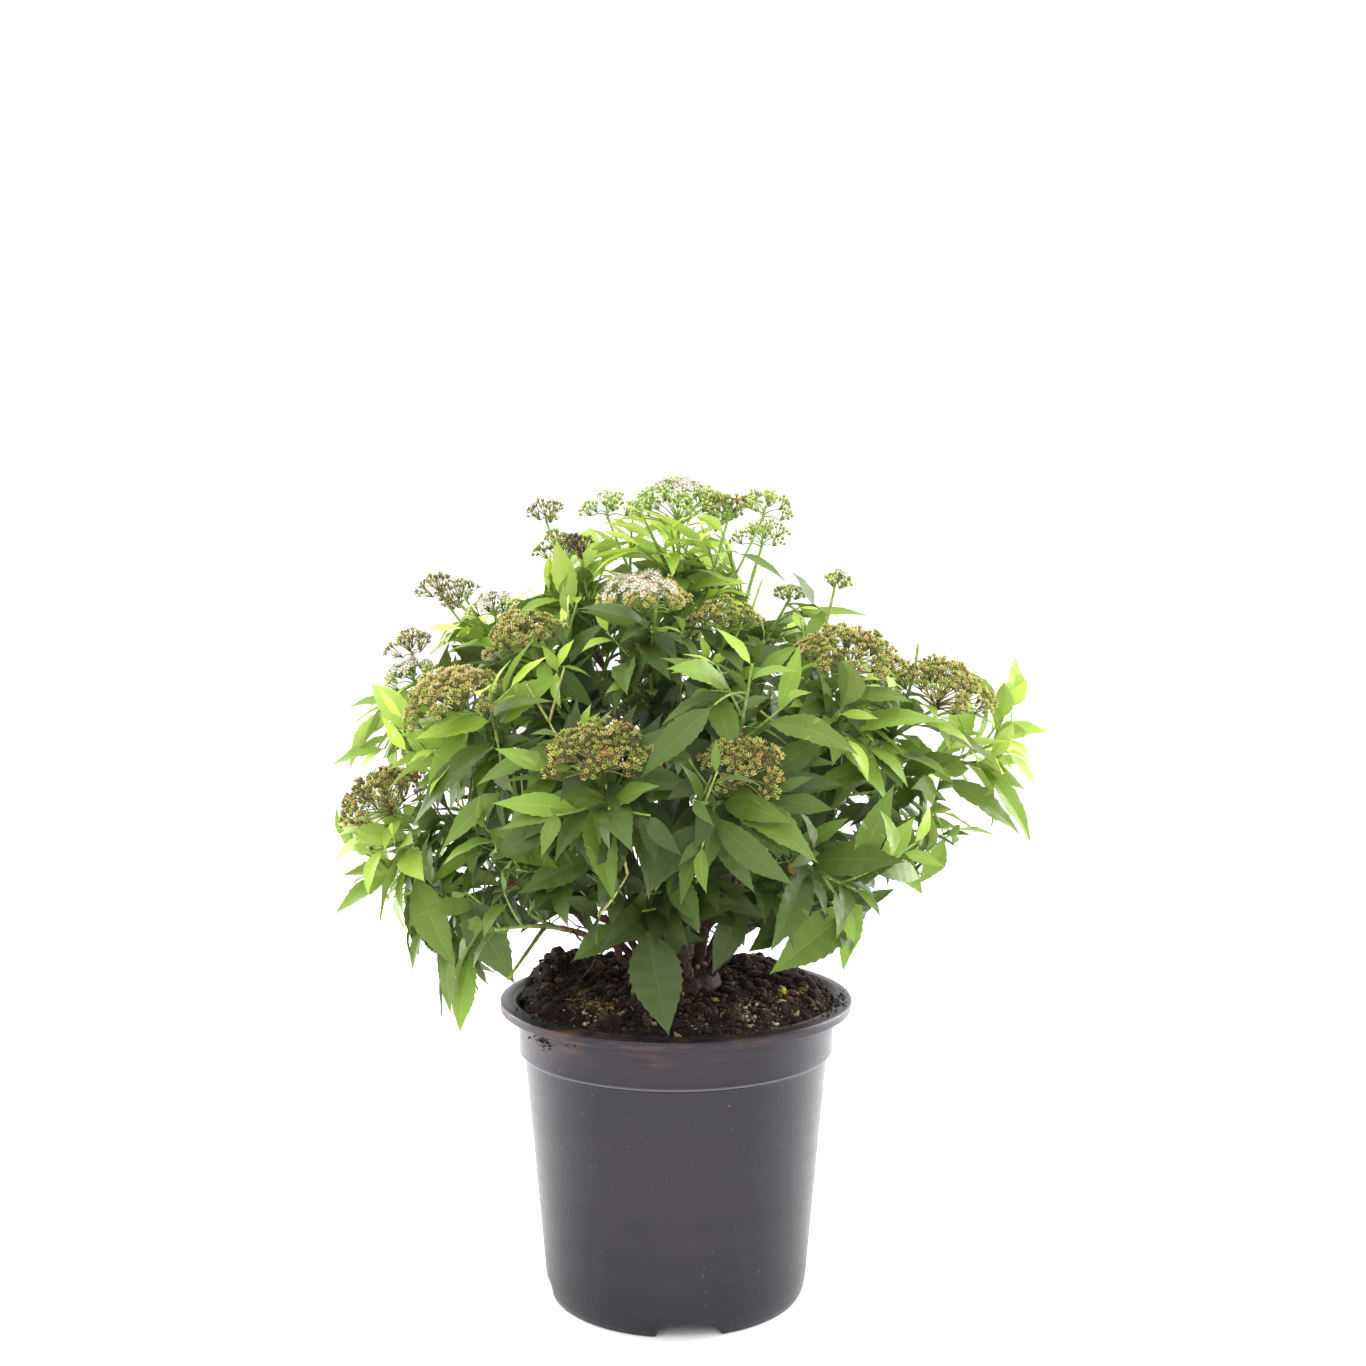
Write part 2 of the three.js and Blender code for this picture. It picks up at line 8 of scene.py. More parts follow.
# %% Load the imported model
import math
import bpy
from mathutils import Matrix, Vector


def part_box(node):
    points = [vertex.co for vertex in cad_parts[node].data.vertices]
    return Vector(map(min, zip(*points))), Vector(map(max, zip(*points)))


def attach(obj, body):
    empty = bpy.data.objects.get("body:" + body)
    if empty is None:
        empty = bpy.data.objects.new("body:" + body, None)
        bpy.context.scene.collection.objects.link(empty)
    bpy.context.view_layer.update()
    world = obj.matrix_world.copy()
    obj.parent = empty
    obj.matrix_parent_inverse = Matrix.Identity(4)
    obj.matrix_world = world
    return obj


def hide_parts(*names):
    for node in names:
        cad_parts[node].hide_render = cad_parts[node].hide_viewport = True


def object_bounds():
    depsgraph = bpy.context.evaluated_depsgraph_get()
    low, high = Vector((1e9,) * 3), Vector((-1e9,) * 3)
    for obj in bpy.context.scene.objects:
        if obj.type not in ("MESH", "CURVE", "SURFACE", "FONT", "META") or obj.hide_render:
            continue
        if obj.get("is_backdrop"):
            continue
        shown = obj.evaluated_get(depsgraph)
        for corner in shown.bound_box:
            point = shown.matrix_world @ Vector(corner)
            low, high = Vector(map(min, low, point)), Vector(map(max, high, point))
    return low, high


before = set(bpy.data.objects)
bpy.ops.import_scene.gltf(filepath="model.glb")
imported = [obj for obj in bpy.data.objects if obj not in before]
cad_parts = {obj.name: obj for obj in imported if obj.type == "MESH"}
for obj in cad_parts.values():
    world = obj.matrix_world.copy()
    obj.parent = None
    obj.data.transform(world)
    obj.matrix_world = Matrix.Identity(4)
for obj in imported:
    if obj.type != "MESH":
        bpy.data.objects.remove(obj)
cad_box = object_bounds()

# %% Libraries and units
from types import SimpleNamespace

import bpy
import numpy as np
from mathutils import Vector, noise

MM = 0.001
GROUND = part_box("soil")[1].z / MM  # top of the compost, where the plant's own heights start
print("solids:", len(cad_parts), "compost top:", round(GROUND), "mm above the floor")

# %% [markdown]
# ## Camera, floor and light
#
# The camera comes first, because it decides how fine everything else has to be. One millimetre on the plant
# is just under two pixels from here, so teeth on a leaf show and hairs on it don't.

# %% Camera
CAMERA_PLACE = (3.8 * MM, -930 * MM, 394.5 * MM)
CAMERA_DIP = math.radians(3.94)
LENS, SENSOR_WIDTH = 45.8, 36  # millimetres

camera = bpy.data.objects.new("camera", bpy.data.cameras.new("camera"))
camera.data.sensor_width = SENSOR_WIDTH
camera.data.lens = LENS
camera.location = CAMERA_PLACE
camera.rotation_euler = (math.pi / 2 - CAMERA_DIP, 0, 0)
bpy.context.collection.objects.link(camera)
bpy.context.scene.camera = camera
print("camera looks down by", round(math.degrees(CAMERA_DIP), 2), "degrees")


# %% [markdown]
# Every material is built from the same three helpers. One turns a colour that a person picks on a screen into
# the linear numbers that shaders read. One makes an empty material. One adds a node, sets its sockets, and
# links those sockets that are given another node.

# %% Colours and nodes
def srgb(code):
    """A linear colour from its sRGB hex code."""
    parts = [int(code[i : i + 2], 16) / 255 for i in (1, 3, 5)]
    return (*[c / 12.92 if c <= 0.04045 else ((c + 0.055) / 1.055) ** 2.4 for c in parts], 1.0)


def new_material(name):
    material = bpy.data.materials.new(name)
    material.use_nodes = True
    material.node_tree.nodes.clear()
    return material, material.node_tree


def add_node(tree, kind, inputs=None, **settings):
    """A shader node with its settings. Each input is a value, or a node or a socket to link from."""
    node = tree.nodes.new("ShaderNode" + kind)
    for name, value in settings.items():
        setattr(node, name, value)
    for name, value in (inputs or {}).items():
        if isinstance(value, bpy.types.Node):
            value = next(socket for socket in value.outputs if socket.enabled)
        if isinstance(value, bpy.types.NodeSocket):
            tree.links.new(value, node.inputs[name])
        else:
            node.inputs[name].default_value = value
    return node


# %% [markdown]
# The floor is a plain pale card, and the light comes from all round, as in a white tent: a white world, a
# large soft lamp overhead, and two tall ones at the sides, a little behind, that draw bright edges down the
# pot.

# %% Floor and lamps
FLOOR_RADIUS, FLOOR_SIDES = 30.0, 64
WORLD_STRENGTH = 1.36
LAMP_AIM = Vector((0, 0, 0.25))  # every lamp looks at the middle of the plant
LAMPS = [  # name, place, size across and down, power in watts
    ("overhead", (0.0, -0.25, 1.9), (2.2, 2.2), 24),
    ("left_box", (-1.25, 0.62, 0.55), (0.9, 1.6), 30),
    ("right_box", (1.25, 0.62, 0.55), (0.9, 1.6), 36),
    ("front_fill", (-0.7, -1.7, 1.1), (1.2, 1.2), 8),
]


def white_card():
    """Matt card: no gloss at all, and a white that is only just short of paper white."""
    material, tree = new_material("matt_white_card")
    place = add_node(tree, "TexCoord").outputs["Object"]
    cloud = add_node(tree, "TexNoise", {"Vector": place, "Scale": 2.5})
    tone = add_node(tree, "Mix", {0: cloud, 6: srgb("#fafaf9"), 7: srgb("#fdfdfd")}, data_type="RGBA")
    card = add_node(tree, "BsdfPrincipled", {"Base Color": tone, "Roughness": 1.0, "Specular IOR Level": 0.0})
    add_node(tree, "OutputMaterial", {"Surface": card})
    return material


def lay_floor():
    turns = np.linspace(0, 2 * math.pi, FLOOR_SIDES, endpoint=False)
    ring = [(FLOOR_RADIUS * math.sin(a), -FLOOR_RADIUS * math.cos(a), 0.0) for a in turns]
    card = bpy.data.meshes.new("floor")
    card.from_pydata(ring, [], [list(range(FLOOR_SIDES))])
    card.materials.append(white_card())
    floor = bpy.data.objects.new("floor", card)
    bpy.context.collection.objects.link(floor)
    floor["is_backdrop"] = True


def light_tent():
    world = bpy.data.worlds.new("light_tent")
    bpy.context.scene.world = world
    world.use_nodes = True
    background = world.node_tree.nodes["Background"]
    background.inputs["Color"].default_value = srgb("#ffffff")
    background.inputs["Strength"].default_value = WORLD_STRENGTH
    for name, place, (across, down), watts in LAMPS:
        lamp = bpy.data.lights.new(name, "AREA")
        lamp.shape = "RECTANGLE"
        lamp.size, lamp.size_y = across, down
        lamp.energy = watts
        holder = bpy.data.objects.new(name, lamp)
        holder.location = place
        holder.rotation_euler = (LAMP_AIM - holder.location).to_track_quat("-Z", "Y").to_euler()
        bpy.context.collection.objects.link(holder)


lay_floor()
light_tent()
bpy.context.scene.view_settings.view_transform = "Standard"
print("lamps:", len(LAMPS))


# %% [markdown]
# ## Meshes from arrays
#
# A plant is thousands of small things of a few kinds. Adding them one by one as objects would choke the file,
# and instances are lost on export. So each kind is described once as a small shape, NumPy copies its points
# to every place, and the copies are joined into one mesh. A shape is its points, its faces as rows of four
# corner numbers (-1 ends a triangle), and the number of the finish that each face wears.

# %% Shapes and joined pieces
def shape(points, faces, finish=0):
    rows = [list(face) + [-1] * (4 - len(face)) for face in faces]
    points, faces = np.asarray(points, float), np.array(rows)
    return SimpleNamespace(points=points, faces=faces, finish=np.full(len(rows), finish))


def fused(shapes):
    """Several shapes as one."""
    starts = np.cumsum([0] + [len(s.points) for s in shapes[:-1]])
    faces = [np.where(s.faces < 0, -1, s.faces + start) for s, start in zip(shapes, starts)]
    points = np.concatenate([s.points for s in shapes])
    finish = np.concatenate([s.finish for s in shapes])
    return SimpleNamespace(points=points, faces=np.concatenate(faces), finish=finish)


def copies(pattern, points, finish_shift=0):
    """Copies of one shape. points has a row for each copy, with all of that copy's points."""
    count, each = points.shape[:2]
    shifts = (np.arange(count) * each)[:, None, None]
    faces = np.where(pattern.faces < 0, -1, pattern.faces + shifts).reshape(-1, 4)
    finish = pattern.finish + np.broadcast_to(finish_shift, count)[:, None]
    return SimpleNamespace(points=points.reshape(-1, 3), faces=faces, finish=finish.reshape(-1))


def joined_piece(name, shapes, finishes, nodes=(), floor=GROUND):
    """One object from many shapes. It rides with the plant, and stands for these nodes."""
    whole = fused(shapes)
    sizes = np.where(whole.faces[:, 3] < 0, 3, 4)
    corners = whole.faces[whole.faces >= 0]
    mesh = bpy.data.meshes.new(name)
    mesh.vertices.add(len(whole.points))
    mesh.vertices.foreach_set("co", ((whole.points + [0, 0, floor]) * MM).ravel())
    mesh.loops.add(len(corners))
    mesh.loops.foreach_set("vertex_index", corners.astype(np.int32))
    mesh.polygons.add(len(sizes))
    mesh.polygons.foreach_set("loop_start", np.concatenate([[0], np.cumsum(sizes)[:-1]]).astype(np.int32))
    mesh.polygons.foreach_set("material_index", whole.finish.astype(np.int32))
    mesh.polygons.foreach_set("use_smooth", np.ones(len(sizes), bool))
    mesh.update(calc_edges=True)
    for finish in finishes:
        mesh.materials.append(finish)
    piece = bpy.data.objects.new(name, mesh)
    bpy.context.collection.objects.link(piece)
    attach(piece, "root")
    if nodes:
        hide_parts(*nodes)
    print(f"{name}: {int((sizes - 2).sum())} triangles")


# %% [markdown]
# Most small things start as one of four plain bodies: a ball with few faces, a flat one that is pointed at
# both ends, a tube that tapers along a line of points, and a straight stalk. Vectors are kept as rows, so the
# same code serves one or thousands.

# %% Directions
UP = np.array([0.0, 0.0, 1.0])
TURN = 2 * math.pi
GOLDEN_ANGLE = math.pi * (3 - math.sqrt(5))  # the turn from one leaf to the next on a spirea shoot


def unit(vectors):
    return vectors / np.linalg.norm(vectors, axis=-1, keepdims=True)


def frames(axes, turns):
    """Three square directions for each axis, the last along it, turned about it."""
    axes = unit(np.asarray(axes, float))
    aside = np.where(np.abs(axes[:, 2:]) > 0.9, [1.0, 0.0, 0.0], UP)
    one = unit(np.cross(aside, axes))
    other = np.cross(axes, one)
    cos, sin = np.cos(turns)[:, None], np.sin(turns)[:, None]
    return np.stack([one * cos + other * sin, other * cos - one * sin, axes], axis=1)


def set_out(pattern, places, axes, sizes, turns, finish_shift):
    """Copies of a shape at these places, its Z axis along the given ones."""
    turned = np.einsum("tk,nkc->ntc", pattern.points, frames(axes, turns))
    points = turned * np.asarray(sizes)[:, None, None] + np.asarray(places)[:, None, :]
    return copies(pattern, points, finish_shift)


# %% Plain bodies
def ring_turns(sides):
    return np.arange(sides) * TURN / sides


def closed_rings(rings, foot, tip, finish=0):
    """A closed body from rings of points and its two end points."""
    count, sides = len(rings), len(rings[0])
    k = np.arange(sides)
    after, none = (k + 1) % sides, np.full(sides, -1)
    low = (np.arange(count - 1) * sides)[:, None]
    walls = np.stack([low + k, low + after, low + sides + after, low + sides + k], axis=-1).reshape(-1, 4)
    end, top = np.full(sides, count * sides), (count - 1) * sides
    faces = [walls, np.stack([end, after, k, none], 1), np.stack([end + 1, top + k, top + after, none], 1)]
    points = np.concatenate([np.reshape(rings, (-1, 3)), [foot, tip]])
    faces = np.concatenate(faces)
    return SimpleNamespace(points=points, faces=faces, finish=np.full(len(faces), finish))


def ball(sides, rings):
    """A ball of radius 1."""
    tilts = [math.pi * i / (rings + 1) for i in range(1, rings + 1)]
    skin = [
        [(math.sin(t) * math.cos(a), math.sin(t) * math.sin(a), -math.cos(t)) for a in ring_turns(sides)]
        for t in tilts
    ]
    return closed_rings(skin, (0, 0, -1), (0, 0, 1))


WIDEST = 0.45  # where a pointed body is widest, as a share of its length


def pointed(root, tip, side, finish=0, thickness=0.3):
    """A flat body with eight faces, pointed at both ends, as thick as this share of its half width."""
    root, tip, side = (np.array(v, float) for v in (root, tip, side))
    middle = root + WIDEST * (tip - root)
    lift = unit(np.cross(tip - root, side)) * np.linalg.norm(side) * thickness
    points = [root, middle + side, tip, middle - side, middle + lift, middle - lift]
    faces = [(0, 1, 4), (1, 2, 4), (2, 3, 4), (3, 0, 4), (1, 0, 5), (2, 1, 5), (3, 2, 5), (0, 3, 5)]
    return shape(points, [face[::-1] for face in faces], finish)


# %% Tubes and stalks
def tube(points, radii, sides, finish, bumps=1.0):
    """A closed tube along a line of points. bumps has a row for each point and a share for each side."""
    ways = unit(np.gradient(points, axis=0))
    across = np.zeros_like(points)
    across[0] = frames(ways[:1], np.zeros(1))[0][0]
    for i in range(len(points)):
        before = across[max(i - 1, 0)]
        across[i] = unit(before - ways[i] * before.dot(ways[i]))
    turns = ring_turns(sides)[:, None]
    ring = across[:, None] * np.cos(turns) + np.cross(ways, across)[:, None] * np.sin(turns)
    size = np.reshape(radii, (-1, 1)) * bumps * np.ones((len(points), sides))
    return closed_rings(points[:, None] + ring * size[:, :, None], points[0], points[-1], finish)


def stalks(starts, ends, foot, tip, finish):
    """Straight three-sided stalks, many at once."""
    three = frames(ends - starts, np.zeros(len(starts)))
    turns = np.arange(3)[:, None] * TURN / 3
    ring = three[:, None, 0] * np.cos(turns) + three[:, None, 1] * np.sin(turns)
    points = np.concatenate([starts[:, None] + ring * foot, ends[:, None] + ring * tip], axis=1)
    faces = [(0, 1, 4, 3), (1, 2, 5, 4), (2, 0, 3, 5), (2, 1, 0), (3, 4, 5)]
    return copies(shape(np.zeros((6, 3)), faces, finish), points)


# %% [markdown]
# ## The pot
#
# The real pot is injection-moulded polypropylene: one thin shell with a turned-down rim, a step below the
# collar, and a foot ring with four drainage notches. It is a turned shape, so it is made as a profile spun
# about the axis. Each corner of the profile is rounded by a small arc, because moulded edges are never sharp
# and their highlights are what makes them read as plastic. The notches lift the foot where they pass.

# %% The pot's sizes, in millimetres
POT_TOP = np.array(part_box("pot")[1]) / MM
RIM_RADIUS, RIM_HEIGHT = POT_TOP[0], POT_TOP[2]
WALL = 1.4
COLLAR = SimpleNamespace(radius=85.8, foot_radius=84.8, foot_height=133.5)
BODY = SimpleNamespace(top_radius=82.0, top_height=131.5, foot_radius=70.9, foot_height=10.0)
FOOT = SimpleNamespace(radius=68.9, width=4.0, floor_height=6.5, centre_radius=14.0)
LIP_DROP = 6.0
NOTCHES = SimpleNamespace(count=4, width=34.0, bearing=math.radians(5.5), height=6.2, slant=3.0)
CORNER = SimpleNamespace(radius=0.9, steps=4)  # the small arc at each corner
POT_SIDES = 208
print("rim across:", round(2 * RIM_RADIUS), "mm, height:", round(RIM_HEIGHT), "mm")


# %% The pot's profile
def rounded(corners):
    """The same closed profile with each corner as a small arc."""
    line = []
    for i, here in enumerate(corners):
        back, on = corners[i - 1] - here, corners[(i + 1) % len(corners)] - here
        reach = min(CORNER.radius, 0.4 * np.linalg.norm(back), 0.4 * np.linalg.norm(on))
        start, end = here + reach * unit(back), here + reach * unit(on)
        for t in np.linspace(0, 1, CORNER.steps):
            line.append((1 - t) ** 2 * start + 2 * t * (1 - t) * here + t**2 * end)
    return np.array(line)


def pot_corners():
    """Radius and height of each corner, from the middle of the floor's underside round the rim and back."""
    flange_foot = RIM_HEIGHT - WALL
    lip_foot = RIM_HEIGHT - LIP_DROP
    outside = [
        (FOOT.centre_radius, 0),
        (FOOT.centre_radius + 2, FOOT.floor_height),
        (FOOT.radius - FOOT.width - 1, FOOT.floor_height),
        (FOOT.radius - FOOT.width, 0),
        (FOOT.radius - 0.8, 0),
        (FOOT.radius + 0.9, 3.5),
        (BODY.foot_radius, BODY.foot_height),
        (BODY.top_radius, BODY.top_height),
        (COLLAR.foot_radius + 0.3, COLLAR.foot_height),
        (COLLAR.foot_radius, COLLAR.foot_height + 2.5),
        (COLLAR.radius, flange_foot - 1.5),
        (COLLAR.radius + 2, flange_foot),
        (RIM_RADIUS - WALL, flange_foot),
        (RIM_RADIUS - WALL, lip_foot),
        (RIM_RADIUS, lip_foot),
        (RIM_RADIUS, flange_foot),
    ]
    inside = [
        (RIM_RADIUS - 3.5, RIM_HEIGHT),
        (COLLAR.radius + 2, RIM_HEIGHT),
        (COLLAR.radius - WALL, flange_foot - 1),
        (COLLAR.foot_radius - WALL, COLLAR.foot_height),
        (BODY.top_radius - WALL, BODY.top_height),
        (BODY.foot_radius - WALL, BODY.foot_height),
        (FOOT.radius - 2 * WALL, FOOT.floor_height + WALL),
    ]
    return np.array(outside + inside)


# %% Spin the profile
def spun(radii, heights, sides, foot, top):
    """A profile turned about the axis, closed by a flat middle below and above. Heights may vary round it."""
    turns = ring_turns(sides)
    heights = np.broadcast_to(np.reshape(heights, (len(radii), -1)), (len(radii), sides))
    rings = np.stack([np.outer(radii, np.sin(turns)), -np.outer(radii, np.cos(turns)), heights], axis=-1)
    return closed_rings(rings, (0, 0, foot), (0, 0, top))


def cut_notches(points):
    """Lifts the foot ring where a notch passes, and squeezes what is above it to make room."""
    reach = np.hypot(points[:, 0], points[:, 1])
    bearing = np.arctan2(points[:, 0], -points[:, 1]) - NOTCHES.bearing
    step = TURN / NOTCHES.count
    across = np.abs((bearing + step / 2) % step - step / 2) * FOOT.radius
    share = np.clip((NOTCHES.width / 2 + 0.5 - across) / NOTCHES.slant, 0, 1)
    smooth = share * share * (3 - 2 * share)
    on_ring = (reach > FOOT.radius - FOOT.width - 1.2) & (points[:, 2] < BODY.foot_height)
    lift = NOTCHES.height * smooth * (1 - points[:, 2] / BODY.foot_height)
    points[:, 2] += np.where(on_ring, lift, 0)


profile = rounded(pot_corners())
shell = spun(profile[:, 0], profile[:, 1], POT_SIDES, 0.0, FOOT.floor_height + WALL)
cut_notches(shell.points)
print("pot profile:", len(profile), "points")


# %% [markdown]
# Polypropylene is waxy and takes a satin gloss from the mould: an IOR near 1.49 and a roughness of about a
# third. This one has been watered, carried and stood outside, so it has haze from rubbing, blots of dried
# compost under the rim, faint rubbed streaks that run round it, and specks of dust. A pale line along the foot
# of its collar is a painted highlight, where that edge would catch the lamps.

# %% Moulded polypropylene
def moulded_polypropylene():
    material, tree = new_material("moulded_polypropylene")
    place = add_node(tree, "TexCoord").outputs["Object"]
    axes = add_node(tree, "SeparateXYZ", {"Vector": place})
    round_pot = add_node(tree, "Mapping", {"Vector": place, "Scale": (0.3, 0.3, 2.0)})

    # Haze: clouds about 30 mm across, drawn out round the pot.
    clouds = add_node(tree, "TexNoise", {"Vector": round_pot, "Scale": 34, "Detail": 4})
    haze = add_node(tree, "MapRange", {"Value": clouds, "From Min": 0.42, "From Max": 0.66})
    grey = add_node(tree, "Mix", {0: haze, 6: srgb("#171519"), 7: srgb("#1e1b20")}, data_type="RGBA")

    # Painted highlight: a pale line along the collar's lower edge, where the edge would catch the lamps.
    edge = {"Value": axes.outputs["Z"], "From Min": 0.1332, "From Max": 0.1346, "To Min": 1.0, "To Max": 0.0}
    edge = add_node(tree, "MapRange", edge)
    above = {"Value": axes.outputs["Z"], "From Min": 0.1326, "From Max": 0.1332, "To Max": 0.45}
    edge = add_node(tree, "Math", {0: edge, 1: add_node(tree, "MapRange", above)}, operation="MULTIPLY")
    grey = add_node(tree, "Mix", {0: edge, 6: grey, 7: srgb("#8a858d")}, data_type="RGBA")

    # Dried compost: only just under the rim, and more on the left.
    high = add_node(tree, "MapRange", {"Value": axes.outputs["Z"], "From Min": 0.140, "From Max": 0.159})
    left = {"Value": axes.outputs["X"], "From Min": 0.07, "From Max": -0.05, "To Min": 0.2, "To Max": 0.9}
    left = add_node(tree, "MapRange", left)
    blots = add_node(tree, "TexNoise", {"Vector": round_pot, "Scale": 150, "Detail": 6})
    blots = add_node(tree, "MapRange", {"Value": blots, "From Min": 0.48, "From Max": 0.74})
    dirt = add_node(tree, "Math", {0: high, 1: left}, operation="MULTIPLY")
    dirt = add_node(tree, "Math", {0: dirt, 1: blots}, operation="MULTIPLY")
    stained = add_node(tree, "Mix", {0: dirt, 6: grey, 7: srgb("#64493a")}, data_type="RGBA")

    # Specks of dust and grit, under a millimetre across.
    specks = add_node(tree, "TexNoise", {"Vector": place, "Scale": 620, "Detail": 0})
    specks = {"Value": specks, "From Min": 0.8, "From Max": 0.86, "To Max": 0.3}
    specks = add_node(tree, "MapRange", specks)
    dusty = add_node(tree, "Mix", {0: specks, 6: stained, 7: srgb("#6a6268")}, data_type="RGBA")

    # Rubbed streaks change the gloss more than the colour.
    streaks = add_node(tree, "TexNoise", {"Vector": round_pot, "Scale": 110, "Detail": 3})
    rubbed = {"Value": streaks, "From Min": 0.4, "From Max": 0.7, "To Min": 0.31, "To Max": 0.35}
    rubbed = add_node(tree, "MapRange", rubbed)
    rough = add_node(tree, "Math", {0: dirt, 1: 0.35, 2: rubbed}, operation="MULTIPLY_ADD")
    skin = add_node(tree, "TexNoise", {"Vector": place, "Scale": 600, "Detail": 3})
    skin = add_node(tree, "Bump", {"Height": skin, "Distance": 0.05 * MM, "Strength": 1.0})
    finish = {"Base Color": dusty, "Roughness": rough, "IOR": 1.49, "Specular IOR Level": 0.42}
    finish["Normal"] = skin
    finish["Specular Tint"] = srgb("#f9f1ff")  # carbon black gives the gloss a faint violet cast
    add_node(tree, "OutputMaterial", {"Surface": add_node(tree, "BsdfPrincipled", finish)})
    return material


joined_piece("pot_shell", [shell], [moulded_polypropylene()], ["pot"], floor=0)


# %% [markdown]
# ## The compost
#
# Nursery compost is coarse: dark moist peat, shreds of composted bark, a few white grains of perlite, and
# moss where it stays wet. The bed is a disc of rings with noise for its lumps, and thousands of loose crumbs
# lie on it as real meshes, because a bump alone has no crumbly outline against the rim.

# %% The bed
SCATTER = np.random.default_rng(41)
BED = SimpleNamespace(edge=84.4, edge_height=-15.5, shoulder=58.0, shoulder_height=-8.0, top=30.0, fill=-1.5)
BED.foot_height, BED.rings, BED.sides = -30, 54, 260
HEAPS = [(-50, 44, 8), (44, 48, 7), (4, 60, 6), (-68, 20, 13), (68, 12, 5)]  # place and height of each heap
HEAP_SPREAD = 420  # square millimetres


def lumps(x, y, size, layer, falloff, finer):
    """Fractal noise for these places, in lumps of this size."""
    spots = zip(np.ravel(x) / size, np.ravel(y) / size)
    heights = [noise.fractal(Vector((a, b, layer)), falloff, finer, 5) for a, b in spots]
    return np.reshape(heights, np.shape(x))


def bed_height(x, y):
    """Height of the compost, from ground level in the middle down to the rim, with its heaps and lumps."""
    reach = [0, BED.top, BED.shoulder, BED.shoulder + 18, BED.edge]
    mound = np.interp(np.hypot(x, y), reach, [0, 0, BED.fill, BED.fill - 3, BED.edge_height + 6])
    for heap_x, heap_y, high in HEAPS:
        mound = mound + high * np.exp(-((x - heap_x) ** 2 + (y - heap_y) ** 2) / HEAP_SPREAD)
    return mound + 2.6 * lumps(x, y, 13, 3.0, 0.75, 2.1) - 0.8


def lumpy_disc(reach, sides, height_at, foot):
    """A disc of rings, each point as high as a function of its place says, with a wall down to its foot."""
    turns = ring_turns(sides)
    heights = height_at(np.outer(reach, np.sin(turns)), -np.outer(reach, np.cos(turns)))
    heights[0] = foot
    return spun(reach, heights, sides, foot, heights[-1].mean())


bed_reach = np.concatenate([[BED.edge], np.linspace(BED.edge, 1, BED.rings)])
bed = lumpy_disc(bed_reach, BED.sides, bed_height, BED.foot_height)
print("compost bed:", len(bed.points), "points")


# %% Places on the bed
def on_bed(x, y):
    share = np.minimum(1, (BED.edge - 1.5) / np.maximum(np.hypot(x, y), 1))
    return np.stack([x * share, y * share, bed_height(x * share, y * share)], axis=1)


def scattered(count, crowding):
    """Random places. A crowding of 0.5 is even, and a larger one gathers them in the middle."""
    reach = 3 + (BED.edge - 4) * SCATTER.random(count) ** crowding
    turns = TURN * SCATTER.random(count)
    return on_bed(reach * np.sin(turns), -reach * np.cos(turns))


def patch(count, bearing, reach, size):
    """Random places in one patch of the bed."""
    x, y = size * SCATTER.normal(size=(2, count))
    return on_bed(x + reach * math.sin(math.radians(bearing)), y - reach * math.cos(math.radians(bearing)))


STREWN = SimpleNamespace(few_large=2.2, uneven=0.45, flatness=0.75)


def strewn(pattern, places, smallest, largest, kinds=1):
    """Copies that lie at random, many small and few large, each of its own proportions."""
    count = len(places)
    sizes = smallest + (largest - smallest) * SCATTER.random(count) ** STREWN.few_large
    lying = frames(SCATTER.normal(size=(count, 3)), TURN * SCATTER.random(count))
    stretch = 1 + STREWN.uneven * (SCATTER.random((count, 1, 3)) - 0.5)
    points = np.einsum("tk,nkc->ntc", pattern.points, lying) * stretch
    points = points * [1, 1, STREWN.flatness] * sizes[:, None, None] + places[:, None, :]
    return copies(pattern, points, SCATTER.integers(0, kinds, count))


def on_pot(dirt):
    """Places in smears on the pot."""
    places = []
    for bearing, reach, height, (round_it, across, up), count in dirt:
        turns = math.radians(bearing) + round_it / reach * SCATTER.normal(size=count)
        out = reach + across * SCATTER.normal(size=count)
        heights = height - GROUND + up * SCATTER.normal(size=count)
        places.append(np.stack([out * np.sin(turns), -out * np.cos(turns), heights], axis=1))
    return np.concatenate(places)


# %% What lies on it
crumb, clod, shred = ball(5, 2), ball(6, 3), pointed((0, 0, 0), (0, 2.6, 0), (-0.7, 0, 0))
RIM_DIRT = [  # bearing, distance from the axis, height, sizes of the smear, and count
    (17, 89.5, 162.2, (10, 2.2, 0.1), 45),
    (74, 89.5, 162.2, (16, 2.2, 0.1), 110),
    (-48, 89.5, 162.2, (14, 2.0, 0.1), 40),
    (-54, 85.6, 149.5, (5.0, 0.1, 1.6), 60),
    (-30, 85.7, 154.5, (12.0, 0.1, 1.2), 30),
    (-40, 86.3, 158.4, (20.0, 0.1, 0.6), 90),
]
dirt = on_pot(RIM_DIRT)
peat = [
    strewn(crumb, scattered(2400, 0.55), 0.5, 1.8, 3),
    strewn(clod, scattered(520, 0.6), 1.7, 4.0, 3),
    strewn(clod, scattered(90, 0.4), 3.2, 6.0, 2),
    strewn(crumb, dirt, 0.25, 0.85, 3),
]
bark_shreds = [
    strewn(shred, scattered(560, 0.55), 0.8, 2.9, 3),
    strewn(clod, scattered(90, 0.5), 1.0, 2.4, 3),
    strewn(crumb, patch(160, 75, 68, 9), 0.5, 1.7, 3),
    strewn(crumb, patch(90, 35, 66, 9), 0.5, 1.6, 3),
    strewn(crumb, patch(210, -38, 60, 6), 0.4, 1.3, 2),
]
perlite = [
    strewn(crumb, scattered(70, 0.5), 0.4, 1.2),
    strewn(crumb, patch(40, 40, 64, 11), 0.6, 1.7),
    strewn(crumb, patch(26, -40, 66, 9), 0.6, 1.5),
]
